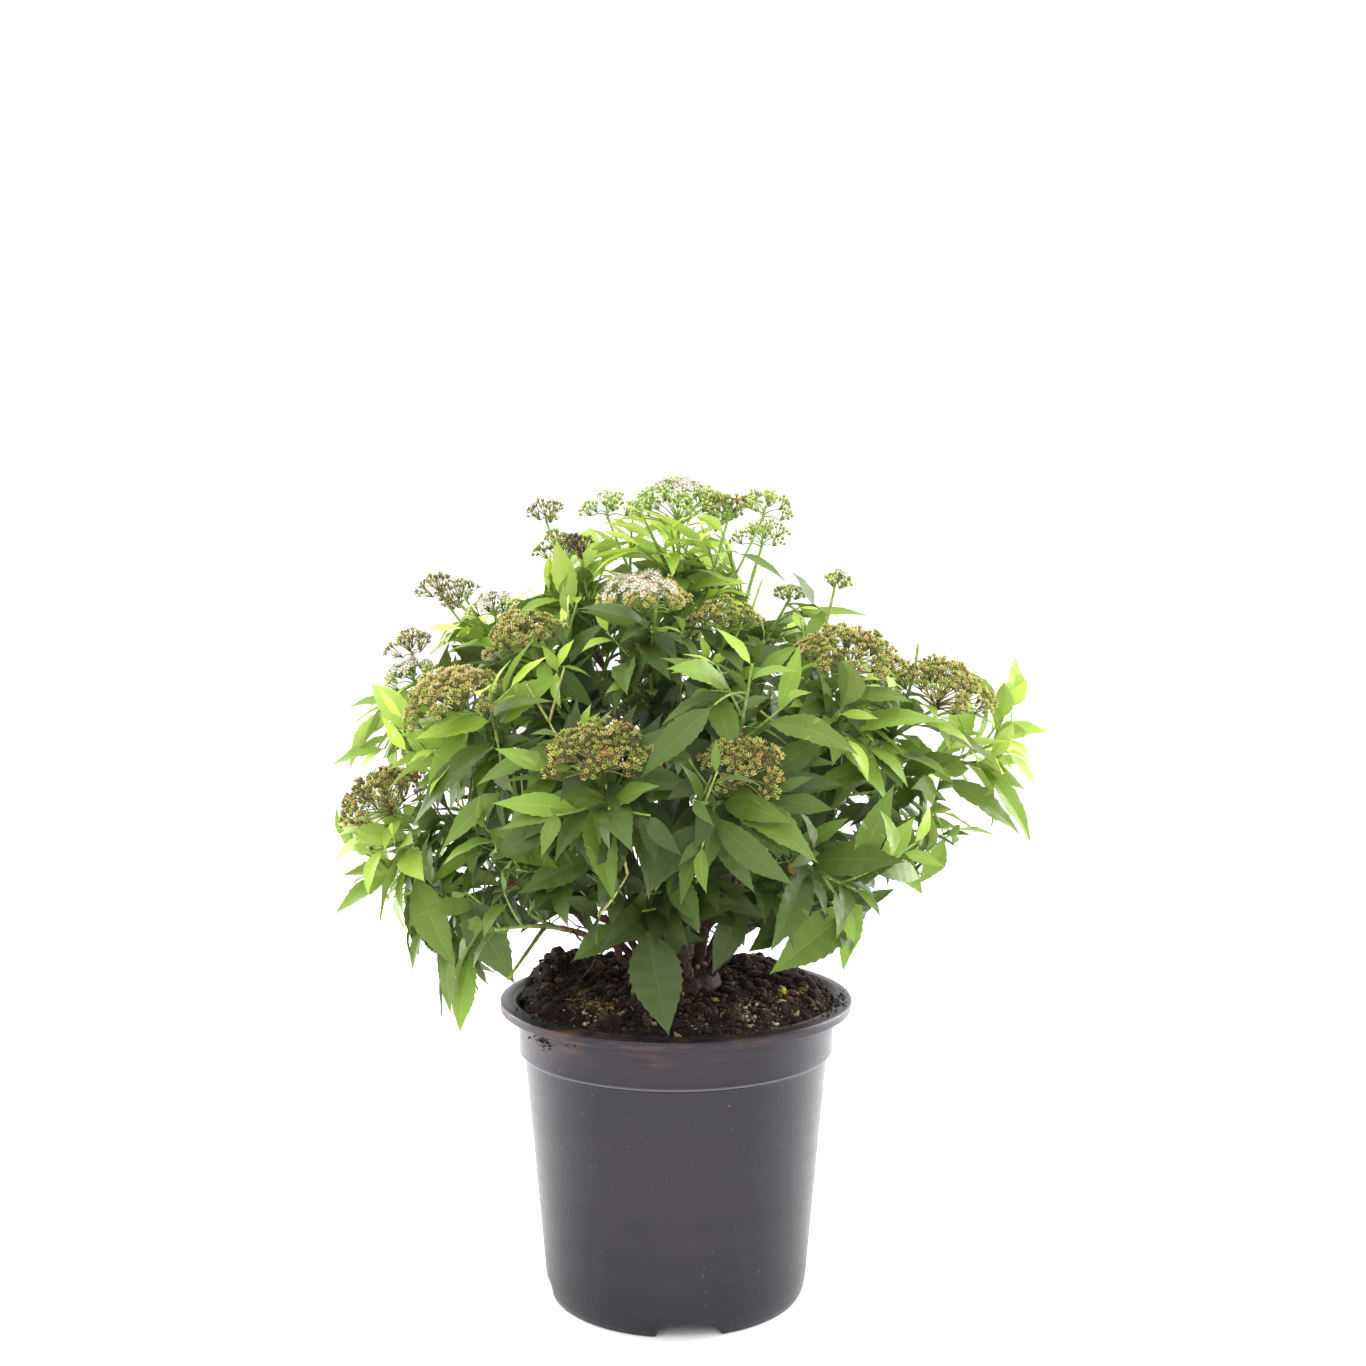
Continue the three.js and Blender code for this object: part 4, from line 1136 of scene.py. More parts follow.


# %% [markdown]
# A few leaves give the shrub its face: long ones that hang over the rim, and those that reach out past the
# rest at both sides. They are listed one by one, from foot to tip, each on a short twig from the nearest
# shoot.
# The others then grow round them.

# %% Leaves that are listed one by one
SET_ARCH = 0.5
TWIG_RISE, STRAW_SAG = 0.15, -0.12  # how far their twigs bow up, and the bare stems down, for their length
# Their colours carry painted light and shade too: darker greens for leaves low in the crown's shade, lighter
# ones out at the right side.
SET_LEAVES = [  # foot and tip in millimetres, width, and colour
    ((-149, -15, 63), (-180, -25, 43), 13, "fresh_green"),
    ((-131, -62, 72), (-110, -72, 25), 21, "leaf_green"),
    ((-104, -78, 65), (-79, -84, 20), 23, "deep_green"),
    ((-115, -50, 37), (-115, -55, -3), 13, "leaf_green"),
    ((-104, -48, 29), (-111, -50, -14), 17, "fresh_green"),
    ((-132, -30, 37), (-138, -32, 14), 9, "leaf_green"),
    ((179, 0, 151), (182, 2, 178), 15, "light_green"),
    ((173, -4, 139), (198, -8, 138), 12, "light_green"),
    ((178, -4, 133), (190, -6, 123), 7, "lime_green"),
    ((178, -4, 126), (192, -6, 109), 9, "light_green"),
    ((178, 0, 150), (188, -4, 166), 9, "lime_green"),
    ((138, -30, 116), (178, -40, 88), 18, "leaf_green"),
    ((160, -12, 121), (188, -20, 80), 16, "fresh_green"),
    ((114, -40, 118), (148, -48, 129), 14, "leaf_green"),
    ((102, -72, 128), (61, -84, 114), 12, "leaf_green"),
    ((109, -30, 77), (129, -34, 55), 16, "fresh_green"),
    ((144, -10, 80), (129, -14, 57), 13, "fresh_green"),
    ((-14, -103, 54), (-3, -109, 1), 26, "shade_green"),
    ((-155, -10, 129), (-182, -14, 121), 11, "fresh_green"),
    ((-148, 0, 154), (-175, -4, 151), 9, "fresh_green"),
    ((74, -5, 204), (62, -8, 223), 11, "deep_green"),
    ((33, -6, 233), (58, -14, 218), 8, "leaf_green"),
    ((18, -150, 164), (-15, -160, 132), 15, "deep_green"),
    ((17, -120, 168), (28, -140, 138), 15, "leaf_green"),
    ((57, -20, 185), (29, -40, 164), 14, "deep_green"),
    ((66, -10, 200), (101, -12, 200), 8, "fresh_green"),
    ((89, -80, 59), (46, -92, 27), 23, "leaf_green"),
    ((87, -60, 68), (84, -68, 22), 17, "fresh_green"),
    ((34, -88, 63), (18, -96, 28), 16, "shade_green"),
    ((-81, -110, 120), (-110, -120, 93), 14, "leaf_green"),
    ((-53, -128, 108), (-86, -138, 90), 15, "deep_green"),
    ((-25, -92, 51), (-50, -98, 35), 15, "deep_green"),
    ((-60, -118, 140), (-93, -126, 124), 11, "leaf_green"),
    ((-46, -126, 118), (-70, -136, 100), 13, "deep_green"),
    ((-6, -116, 103), (-9, -126, 74), 17, "leaf_green"),
    ((-4, -112, 82), (12, -118, 56), 14, "deep_green"),
    ((24, -120, 121), (50, -128, 89), 14, "deep_green"),
    ((8, -110, 99), (42, -114, 95), 15, "shade_green"),
    ((42, -112, 138), (52, -118, 118), 12, "fresh_green"),
    ((-33, -114, 91), (-74, -120, 72), 17, "deep_green"),
    ((-90, -112, 102), (-54, -122, 84), 17, "leaf_green"),
    ((56, -70, 80), (64, -76, 68), 9, "turning_gold"),
    ((-4, -100, 78), (12, -106, 50), 14, "deep_green"),
    ((-26, -96, 74), (-31, -100, 52), 10, "shade_green"),
    ((22, -86, 70), (34, -92, 40), 13, "deep_green"),
    ((2, -84, 62), (-2, -90, 30), 12, "shade_green"),
    ((17, -62, 176), (32, -66, 184), 8, "tip_green"),
    ((14, -60, 172), (19, -70, 158), 8, "lime_green"),
    ((16, -60, 178), (12, -64, 192), 6, "lime_green"),
    ((-58, -70, 176), (-50, -72, 190), 7, "lime_green"),
    ((-58, -70, 174), (-66, -72, 187), 6, "light_green"),
    ((2, -8, 236), (-22, -16, 254), 8, "tip_green"),
    ((2, -8, 234), (-10, -22, 248), 8, "lime_green"),
    ((4, -8, 236), (10, -20, 254), 8, "tip_green"),
    ((5, -6, 236), (26, -14, 248), 8, "lime_green"),
    ((4, -8, 232), (30, -14, 238), 9, "lime_green"),
    ((0, -6, 228), (-34, -12, 242), 10, "light_green"),
    ((0, -8, 226), (-14, -28, 236), 9, "lime_green"),
    ((4, -8, 224), (18, -28, 232), 9, "light_green"),
    ((-28, 0, 232), (-46, -6, 246), 8, "light_green"),
]


# %% A twig for each of them
def twig_from_shoot(end, rise, kind):
    """The mass whose shoot passes nearest to this end, and a twig that comes from there."""
    nearest = math.inf
    for mass in masses:
        for shoot in mass.shoots:
            places = shoot.curve.at(np.linspace(0.1, 0.95, 40))
            apart = np.linalg.norm(places - end, axis=1)
            if apart.min() < nearest:
                nearest, owner, start = apart.min(), mass, places[apart.argmin()]
    bend = (start + end) / 2 + rise * np.linalg.norm(end - start) * UP
    return owner, new_shoot(arc(start, bend, end), 0, TWIG.foot, kind)


def set_leaf(foot, tip, width, tint, draw):
    """A leaf from foot to tip, on its own twig. It faces outwards and to the front."""
    chord = tip - foot
    outward = unit(outward_at(foot) + [0, -1, 0])
    level = unit(np.cross(outward + LEAF.skyward * UP, unit(chord)))
    lift = np.cross(unit(chord), level)
    along = unit(chord) * math.cos(SET_ARCH / 2) + lift * math.sin(SET_ARCH / 2)
    length = np.linalg.norm(chord) * SET_ARCH / 2 / math.sin(SET_ARCH / 2)
    leaf = new_leaf(foot, along, outward, 0, length, draw)
    leaf.width, leaf.arch, leaf.twist, leaf.tint = width, SET_ARCH, 0.5 * leaf.twist, tint
    leaf.test = leaf_surface([leaf], TEST_U, TEST_V)[0][0]
    mass, twig = twig_from_shoot(foot, TWIG_RISE, "")
    mass.twigs.append(twig)
    add_leaf(mass, twig, leaf, 1)
    return twig.curve.length


# %% Bare stems that are listed one by one
SET_STEMS = [  # foot and tip of thin straw-coloured stems that show in front of the leaves
    ((-22, -128, 83), (-33, -140, 133)),
    ((7, -134, 106), (17, -142, 131)),
    ((-101, -92, 100), (-107, -92, 134)),
    ((-60, -104, 152), (-71, -102, 170)),
    ((-60, -104, 152), (-53, -98, 178)),
    ((-71, -114, 104), (-73, -110, 128)),
    ((34, -86, 162), (62, -90, 139)),
]


def set_stem(foot, tip):
    """A bare stem from the nearest shoot to foot and on to tip."""
    mass, twig = twig_from_shoot(foot, STRAW_SAG, "straw")
    bare = new_shoot(arc(foot, (foot + tip) / 2 + [0, -2, 0], tip), 0, TWIG.foot, "straw")
    mass.twigs += [twig, bare]


for ends in SET_STEMS:
    set_stem(*np.array(ends, float))
draw = seeded(77)
reaches = [set_leaf(*np.array(leaf[:2], float), *leaf[2:], draw) for leaf in SET_LEAVES]
print("leaves set by hand:", len(reaches), "longest twig:", round(max(reaches)), "mm")


# %% Leaves along a shoot
DROOP = SimpleNamespace(least=0.05, more=0.45, low=0.35, height=110)  # they hang more the lower they are
BARE = SimpleNamespace(foot=8, foot_share=0.3, under_head=10, tip=1)
YOUNG_LEAVES = 3  # so many at the tip stand up and never droop


def grow_leaves(mass, twig, seed, spacing, smallest, clear):
    """Leaves stand along a shoot by the golden angle. One without room is turned on, and then left out."""
    draw = seeded(seed)
    turn = TURN * draw()
    first = min(BARE.foot, BARE.foot_share * twig.curve.length)
    last = twig.curve.length - (BARE.under_head if twig.head else BARE.tip)
    count = max(1, int((last - first) / spacing + 0.5))
    for i in range(count + 1):
        age = 1 - i / count
        young = i > count - YOUNG_LEAVES and not twig.head
        size = LEAF.length * (LEAF.shortest + (1 - LEAF.shortest) * draw())
        size *= smallest + (1 - smallest) * age
        at = (first + (last - first) * i / count) / twig.curve.length
        root, tangent = twig.curve.at(at), twig.curve.way(at)
        outward = outward_at(root)
        droop = DROOP.least + DROOP.more * draw() + DROOP.low * max(0, 1 - root[2] / DROOP.height)
        roll = LEAF.roll * (2 * draw() - 1)
        for shift, share in LEAF_TRIES:
            along = away_from(tangent, turn + (i + shift) * GOLDEN_ANGLE) + (1.1 if young else 0.4) * tangent
            along = unit(along + 0.4 * outward - (0 if young else droop) * UP)
            leaf = new_leaf(root, along, outward, roll, share * size, draw)
            leaf.test = leaf_surface([leaf], TEST_U, TEST_V)[0][0]
            if has_room(leaf.test, mass.stem, clear):
                add_leaf(mass, twig, leaf, age)
                break


# %% Grow the twigs and leaves of every mass
INNER_START = 0.2  # how far up a bough its first shaded twigs are


def dress_shoots(mass):
    """Leaves on the shoots, and twigs on the shoots and low on the bough."""
    seed = 100 * (mass.stem.number + 1)
    for i, shoot in enumerate(mass.shoots):
        grow_leaves(mass, shoot, seed + i + 1, 8.0, 0.8 if shoot.head else 0.4, CLEAR.shoot_leaf)
        mass.twigs += grow_twigs(mass.stem, shoot, seed + i + 20)
    low = Line(mass.stem.curve.at(np.linspace(INNER_START, STEM.bough, 40)))
    mass.twigs += grow_twigs(mass.stem, new_shoot(low, 0, TWIG.foot, ""), seed + 30)


def dress_twigs(mass):
    """Leaves on the twigs. These fill what gaps are left, so they may cross a little into the next mass."""
    leafy = [twig for twig in mass.twigs if twig.kind != "straw"]
    for i, twig in enumerate(leafy):
        grow_leaves(mass, twig, 100 * (mass.stem.number + 1) + i + 40, 7.0, 0.42, CLEAR.twig_leaf)


for dress in (dress_shoots, dress_twigs):
    for mass in masses:
        dress(mass)
print("twigs:", sum(len(mass.twigs) for mass in masses), "leaves:", sum(len(mass.leaves) for mass in masses))


# %% [markdown]
# ## Stems
#
# Young spirea wood is thin and red-brown. It has fine ridges that run along it, and at every node it swells
# and carries a small bud or the scar of one. Higher up it turns olive and then green. Each stem is a tube
# with that relief in its mesh, because its outline shows against the light, and a bump doesn't change an
# outline.

# %% Bark tubes
WOOD = np.random.default_rng(7)
NODE = SimpleNamespace(spacing=14.0, half_length=1.4, swelling=0.22)
RIDGE, UNEVEN = 0.05, 0.05
BUD = ball(5, 2)
BUD.points[:, 2] *= 1.7


def bark_tube(curve, foot, tip, sides, finish, step=2.6, sway=0.0, flare=0.0):
    """A tapering stem with ridges and nodes, and its nodes. sway is how far it strays between its ends, and
    flare how much thicker it is at the very foot."""
    count = max(5, int(curve.length / step))
    shares = np.linspace(0, 1, count + 1)
    along = (shares * curve.length)[:, None]
    nodes = np.arange(5 + 6 * WOOD.random(), curve.length - 3, NODE.spacing)
    swelling = np.exp(-(((along - nodes) / NODE.half_length) ** 2)).sum(axis=1, keepdims=True)
    ridges = RIDGE * np.cos(3 * ring_turns(sides) + TURN * WOOD.random() + 0.03 * along)
    bumps = 1 + ridges + NODE.swelling * swelling + UNEVEN * (WOOD.random((count + 1, sides)) - 0.5)
    one, other, _ = frames([curve.way(0.5)], TURN * WOOD.random(1))[0]
    window = np.sin(math.pi * shares[:, None]) ** 2
    bends = np.sin(TURN * 1.1 * shares[:, None] + TURN * WOOD.random())
    bends = one * bends + 0.6 * other * np.cos(TURN * 1.7 * shares[:, None])
    points = curve.at(shares) + sway * window * bends
    places = Line(points).at(nodes / curve.length)
    radii = (foot + (tip - foot) * shares) * (1 + flare * np.exp(-along[:, 0] / 6))
    return tube(points, radii, sides, finish, bumps), places


def node_buds(places, curve, radius, finish):
    """A small pointed bud at each node, turned on by the golden angle."""
    ways = np.array([away_from(curve.way(0.5), i * GOLDEN_ANGLE) for i in range(len(places))])
    axes, sizes = ways + 1.2 * curve.way(0.5), np.full(len(places), radius * 0.62)
    return set_out(BUD, places + ways * radius * 0.95, axes, sizes, np.zeros(len(places)), finish)


# %% [markdown]
# The root crown is the knot that the stems rise from, a lump of old wood with the stubs of pruned stems. It
# sits half in the compost, so crumbs lie against it.

# %% Root crown
KNOT = SimpleNamespace(radius=25.0, height=12.0, foot_height=-8, lump_height=2.8, sides=64, rings=26)
DARK_BARK, CUT_WOOD = 2, 3  # numbers of finishes


def make_knot():
    shares = np.linspace(0, 1, KNOT.rings)
    reach = KNOT.radius * np.cos(shares * math.pi / 2 * 0.97)
    base = KNOT.height * np.sin(shares * math.pi / 2) ** 0.9 - 1.5

    def height_at(x, y):
        return base[:, None] + KNOT.lump_height * lumps(x, y, 7, 5.0, 0.7, 2.2)

    knot = lumpy_disc(reach, KNOT.sides, height_at, KNOT.foot_height)
    knot.finish[:] = DARK_BARK
    return knot


def pruned_stubs():
    stubs = []
    for i in range(9):
        bearing = i * GOLDEN_ANGLE + 0.5
        foot = around(bearing, 5 + 14 * WOOD.random(), 6)
        way = unit(around(bearing, 0.9, 1.4) + 0.5 * WOOD.normal(size=3))
        thick, high = 1.4 + 1.2 * WOOD.random(), 7 + 6 * WOOD.random()
        top = foot + way * high
        bark = bark_tube(arc(foot, foot + way * high * 0.5, top), thick * 1.15, thick, 10, DARK_BARK, 1.6)[0]
        stubs += [bark, tube(np.array([top - way, top + 0.25 * way]), [thick * 0.8] * 2, 10, CUT_WOOD)]
    return stubs


# %% Boughs
def boughs():
    thin = stem_radius(STEM.bough)
    parts = []
    for stem in stems:
        part = Line(stem.curve.at(np.linspace(0, STEM.bough + 0.01, 80)))
        body, places = bark_tube(part, STEM.foot, thin, 12, int(WOOD.integers(0, 3)), sway=3.0, flare=0.35)
        parts += [body, node_buds(places, part, thin, DARK_BARK)]
    return parts


def dead_twigs():
    """Thin bare twigs that died in the shade of the crown, still on their boughs."""
    twigs = []
    for stem in stems * 2:
        at = 0.16 + 0.5 * WOOD.random()
        root, tangent = stem.curve.at(at), stem.curve.way(at)
        way = unit(away_from(tangent, TURN * WOOD.random()) + (WOOD.random() - 0.2) * tangent)
        length = 16 + 30 * WOOD.random()
        tip = root + way * length + UP * length * (0.5 * WOOD.random() - 0.25)
        curve = arc(root, root + 0.5 * way * length + 4 * WOOD.normal(size=3), tip)
        if in_crown(curve.at([0.5, 1.0])):
            twigs.append(bark_tube(curve, 0.62, 0.32, 6, int(WOOD.integers(1, 3)), 2.2, sway=1.6)[0])
            fork = curve.at(0.55)
            end = fork + unit(way + 0.8 * WOOD.normal(size=3)) * length * 0.35
            line = Line([fork, end]).at(np.linspace(0, 1, 4))
            twigs.append(tube(line, [0.4, 0.36, 0.3, 0.22], 5, DARK_BARK))
    return twigs


# %% [markdown]
# Bark on wood this young is a thin skin: matt, a roughness of about 0.75, with grain drawn out along the stem
# and paler flecks about a millimetre across. Green shoots are smoother and have a faint wax bloom.

# %% Bark
ALONG = (1, 1, 0.35)  # grain drawn out along the stem
bark_finishes = [
    mottled("red_brown_bark", "#35201c", "#5f3f34", 1.1, 0.25, 0.75, ALONG),
    mottled("grey_brown_bark", "#33261f", "#5f4d40", 1.1, 0.25, 0.8, ALONG),
    mottled("dark_bark", "#2a1b19", "#4b332c", 1.1, 0.25, 0.75, ALONG),
    mottled("cut_wood", "#5f4c36", "#86704e", 0.6, 0.1, 0.85),
]
wood = [make_knot()] + pruned_stubs() + boughs() + dead_twigs()
bough_nodes = ["bough_" + stem.name for stem in stems]
joined_piece("boughs_and_root_crown", wood, bark_finishes, ["root_crown"] + bough_nodes)


# %% Leading shoots, side shoots and twigs
RIPENING, OLIVE, GREEN, STRAW = range(4)  # numbers of finishes
LEADING, SIDE = (0.9, 0.3), (0.65, 0.1)  # radius at the tip, and how far up the bark is brown
OLIVE_END = 0.6  # above this share of its length a shoot is green


def shoot_shapes():
    shapes = []
    for mass in masses:
        for i, shoot in enumerate(mass.shoots):
            tip, brown = SIDE if i else LEADING
            body, places = bark_tube(shoot.curve, shoot.foot, tip, 9, RIPENING)
            height = np.arange(len(body.faces)) / len(body.faces)  # faces run from foot to tip
            body.finish = np.where(height < brown, RIPENING, np.where(height < OLIVE_END, OLIVE, GREEN))
            shapes.append(body)
            if len(places):
                shapes.append(node_buds(places, shoot.curve, tip, OLIVE))
        for twig in mass.twigs:
            finish = STRAW if twig.kind == "straw" else GREEN
            shapes.append(bark_tube(twig.curve, twig.foot, 0.45, 6, finish, 3.5)[0])
    return shapes


shoot_finishes = [
    mottled("ripening_bark", "#5a3a2c", "#7d5a42", 1.1, 0.15, 0.7, ALONG),
    mottled("olive_shoot", "#5f6a33", "#7f8a48", 1.0, 0.1, 0.6, ALONG),
    mottled("green_shoot", "#6f8a3c", "#93a854", 1.0, 0.1, 0.55, ALONG),
    mottled("straw_stem", "#8d9050", "#b5b06c", 1.0, 0.1, 0.65, ALONG),
]
joined_piece("shoots_and_twigs", shoot_shapes(), shoot_finishes, mass_nodes)


# %% [markdown]
# ## Leaves
#
# The finished leaf has two sheets, because its two sides differ: the upper one is deep green with a slight
# wax gloss, the lower one paler and matt. They meet along the edge, so the leaf is closed, and a strip down
# the middle is the midrib. Teeth are pairs of rows, a notch and a point that leans towards the tip.

# %% The leaf's mesh pattern
TEETH = SimpleNamespace(first=0.15, last=0.9, notch=0.95, point=1.04)
LEAF_THICKNESS = 0.05  # as a share of its width
UPPER, UNDER, MIDRIB = range(3)  # numbers of finishes


def toothed(teeth):
    """Rows along the leaf, two for each tooth, and how far its edge reaches at each."""
    starts = np.linspace(TEETH.first, TEETH.last, teeth, endpoint=False)
    rows = np.concatenate([[0, 0.06, 0.11], np.stack([starts, starts + 0.5 / teeth], 1).ravel(), [0.96, 1]])
    return rows, np.concatenate([[1, 1, 1], np.tile([TEETH.notch, TEETH.point], teeth), [1, 1]])


def leaf_pattern(rows, edge, upper_columns, under_columns):
    """The u and v of both sheets, how deep each point lies, and faces with upper, under and midrib finish."""
    points, faces, finish = [], [], []
    for sheet, columns in ((UPPER, upper_columns), (UNDER, under_columns)):
        u, v = np.meshgrid(rows, columns, indexing="ij")
        v = np.where(np.abs(v) == 1, v * np.reshape(edge, (-1, 1)), v)
        inner = (np.abs(v) < 0.8) & (u > 0) & (u < 1)
        depth = np.where(inner & (sheet == UNDER), LEAF_THICKNESS, 0)
        corner = np.arange(u.size).reshape(u.shape) + sum(len(p) for p in points)
        quads = np.stack([corner[:-1, :-1], corner[1:, :-1], corner[1:, 1:], corner[:-1, 1:]], -1)
        quads = quads.reshape(-1, 4)
        faces.append(quads[:, [0, 3, 2, 1]] if sheet == UNDER else quads)
        middle = np.abs(np.convolve(columns, [0.5, 0.5], "valid")) < 0.1
        finish.append(np.tile(np.where(middle, MIDRIB, sheet), len(rows) - 1))
        points.append(np.stack([u.ravel(), v.ravel(), depth.ravel()], axis=1))
    u, v, depth = np.concatenate(points).T
    return SimpleNamespace(u=u, v=v, depth=depth, faces=np.concatenate(faces), finish=np.concatenate(finish))


def leaf_meshes(leaves, pattern):
    points, facing = leaf_surface(leaves, pattern.u, pattern.v)
    width = np.array([leaf.width for leaf in leaves])[:, None]
    return copies(pattern, points - facing * (pattern.depth * width)[..., None])


NARROW, WIDE = (-1, -0.06, 0.06, 1), (-1, -0.5, -0.045, 0.045, 0.5, 1)
LEAF_PATTERNS = [  # shortest leaf of each pattern, and the pattern
    (43, leaf_pattern(*toothed(9), WIDE, NARROW)),
    (22, leaf_pattern(*toothed(7), NARROW, NARROW)),
    (0, leaf_pattern((0, 0.12, 0.3, 0.5, 0.72, 0.9, 1), (1,) * 7, NARROW, NARROW)),
]
print("faces in a leaf:", [len(pattern.faces) for _, pattern in LEAF_PATTERNS])


# %% [markdown]
# Leaf colour has a place. The lime of the young tips is the leaves' own colour, but the other steps are mostly
# painted light and shade: leaves deep in the crown get darker greens as painted shade, and those further out,
# higher up and out at the sides, where the lamps reach, get lighter greens as painted light. Each leaf is
# dealt one of a few plain colours by how much light would reach it and how young it is. The gloss of the
# cuticle is an IOR near 1.4 with a roughness around 0.5, and the fine bump is the net of the smallest veins,
# about 0.7 mm across.

# %% Living leaf
# Lighter and darker greens of one kind of leaf. Apart from lime on young tips and gold on old leaves, the
# steps between them are painted light and shade.
TINTS = {  # upper side, underside, midrib
    "shade_green": ("#38461d", "#536035", "#435024"),
    "deep_green": ("#485b22", "#66773f", "#54672a"),
    "leaf_green": ("#5b7229", "#768a48", "#697f32"),
    "fresh_green": ("#759235", "#8ea654", "#839d3f"),
    "light_green": ("#94b144", "#a8bf62", "#a0b950"),
    "lime_green": ("#b0cd50", "#bed370", "#bad25e"),
    "tip_green": ("#c8e066", "#d0e27e", "#d5e67c"),
    "turning_gold": ("#a5803c", "#ac9258", "#a5885a"),
}


NET_SIZE, NET_DEPTH = 0.7 * MM, 0.06 * MM  # the net of the smallest veins


def living_leaf(name, colour, rough, gloss):
    material, tree = new_material(name)
    place = add_node(tree, "TexCoord").outputs["Object"]
    net = add_node(tree, "TexNoise", {"Vector": place, "Scale": 1 / NET_SIZE, "Detail": 2})
    net = add_node(tree, "Bump", {"Height": net, "Distance": NET_DEPTH, "Strength": 1.0})
    blade = {"Base Color": srgb(colour), "Roughness": rough, "IOR": 1.4, "Specular IOR Level": gloss}
    blade = add_node(tree, "BsdfPrincipled", {**blade, "Normal": net})
    add_node(tree, "OutputMaterial", {"Surface": blade})
    return material


def leaf_finishes(tint):
    upper, under, rib = TINTS[tint]
    return [
        living_leaf("leaf_upper_" + tint, upper, 0.45, 0.35),
        living_leaf("leaf_under_" + tint, under, 0.65, 0.2),
        living_leaf("leaf_midrib_" + tint, rib, 0.55, 0.3),
    ]


# %% Deal the leaves out by light
# Painted light and shade: further out from the crown's middle, higher, and further to the sides, towards the
# lamps, a leaf gets a lighter green. The young share also grows with height, so young leaves low in the crown
# stay darker as painted shade. Twig luck and chance add tone that differs at random.
LIGHT = SimpleNamespace(out=0.42, up=0.4, height=260, aside=0.55, reach=190, twig=0.3, chance=0.22)
YOUNG = SimpleNamespace(length=30, small=0.5, large=0.2, age=0.6, height=90, rise=130, least=0.1)
GOLD = SimpleNamespace(chance=0.006, length=30, lowest=60, highest=120)
LIGHTER = SimpleNamespace(rise=20, least=0.3)  # below that height the share falls to the least
# Partly the young tips' own lime, partly painted light where the lamps fall on the top of the crown and the
# right tip.
YOUNG_AND_LIT_MASSES = {  # how much lighter their leaves are, and above what height
    "top": (0.75, 234),
    "top_back": (0.5, 230),
    "top_left": (0.3, 226),
    "right_tip": (0.2, 100),
}
LIGHT_LIMITS = [
    (0.58, "shade_green"),
    (0.74, "deep_green"),
    (0.88, "leaf_green"),
    (1.04, "fresh_green"),
    (1.22, "light_green"),
    (1.42, "lime_green"),
]


def tint_of(leaf, stem, draw):
    """How much light the leaf would get, painted into its colour as light and shade, and how young it is,
    decide its colour.
    """
    x, _, z = leaf.test[MIDDLE]
    out = np.linalg.norm((leaf.test[MIDDLE] - CROWN.centre) / CROWN.radii)
    light = LIGHT.out * out + LIGHT.up * z / LIGHT.height + LIGHT.aside * abs(x) / LIGHT.reach
    light += LIGHT.twig * leaf.twig.luck + LIGHT.chance * (draw() - 0.5)
    if not leaf.twig.head:
        young = YOUNG.small if leaf.length < YOUNG.length else YOUNG.large
        young *= 1 - min(1, leaf.age / YOUNG.age)
        light += young * min(1, max(YOUNG.least, (z - YOUNG.height) / YOUNG.rise))
    lighter, height = YOUNG_AND_LIT_MASSES.get(stem.name, (0, 0))
    light += lighter * min(1, max(LIGHTER.least, 1 + (z - height) / LIGHTER.rise))
    if draw() < GOLD.chance and leaf.length < GOLD.length and GOLD.lowest < z < GOLD.highest:
        return "turning_gold"
    return next((tint for limit, tint in LIGHT_LIMITS if light < limit), "tip_green")


def deal_leaves():
    dealt = {tint: [] for tint in TINTS}
    for mass in masses:
        draw = seeded(9000 + mass.stem.number)
        for twig in mass.shoots + mass.twigs:
            twig.luck = draw() - 0.5
        for leaf in mass.leaves:
            dealt[leaf.tint or tint_of(leaf, mass.stem, draw)].append(leaf)
    return dealt


for tint, leaves in deal_leaves().items():
    sheets, longest = [], math.inf
    for shortest, pattern in LEAF_PATTERNS:
        group = [leaf for leaf in leaves if shortest <= leaf.length < longest]
        sheets += [leaf_meshes(group, pattern)] if group else []
        longest = shortest
    print(len(leaves), "leaves of", tint)
    joined_piece("leaves_" + tint, sheets, leaf_finishes(tint), mass_nodes)


# %% [markdown]
# ## Flower heads
#
# A spirea head is a flat dome of small umbels. Every umbel has about ten florets on stalks as thin as hair,
# and the umbels stand on rays that fan out from the top of the shoot. Here most of the heads have set seed:
# such a floret is a cup with five small pods. Others are still in bud, fading or in bloom, and some have
# dried up.

# %% One floret of each kind, with a radius of 1
PETAL, CUP, STAMEN = range(3)  # numbers of finishes


def whorl(count, root, tip, width, finish, thickness):
    """Pointed bodies around the axis. root and tip each give a distance from it and a height."""
    parts = []
    for i in range(count):
        out = np.array([math.cos(TURN * i / count), math.sin(TURN * i / count), 0])
        side = np.array([-out[1], out[0], 0]) * width
        ends = (out * reach + UP * height for reach, height in (root, tip))
        parts.append(pointed(*ends, side, finish, thickness))
    return fused(parts)


def cup(radius, depth):
    rim = [(radius * math.cos(TURN * i / 5), radius * math.sin(TURN * i / 5), 0) for i in range(5)]
    return closed_rings([rim], (0, 0, -depth), (0, 0, -0.15 * radius), CUP)


bud_ball = ball(5, 2)
bud_ball.points *= 0.62
petals = whorl(5, (0.15, 0), (1.0, 0.2), 0.42, PETAL, 0.15)
stamens = whorl(4, (0.1, 0), (0.8, 1.1), 0.06, STAMEN, 0.5)
FLORETS = {
    "pods": fused([cup(0.62, 0.6), whorl(5, (0.2, -0.1), (0.72, 0.8), 0.26, PETAL, 0.8)]),
    "bud": fused([cup(0.6, 0.7), bud_ball]),
    "open": fused([cup(0.4, 0.5), petals, stamens]),
    "husk": fused([cup(0.5, 0.8), whorl(5, (0.2, 0), (0.95, 0.7), 0.22, PETAL, 0.6)]),
}
print("faces in a floret:", {name: len(floret.faces) for name, floret in FLORETS.items()})

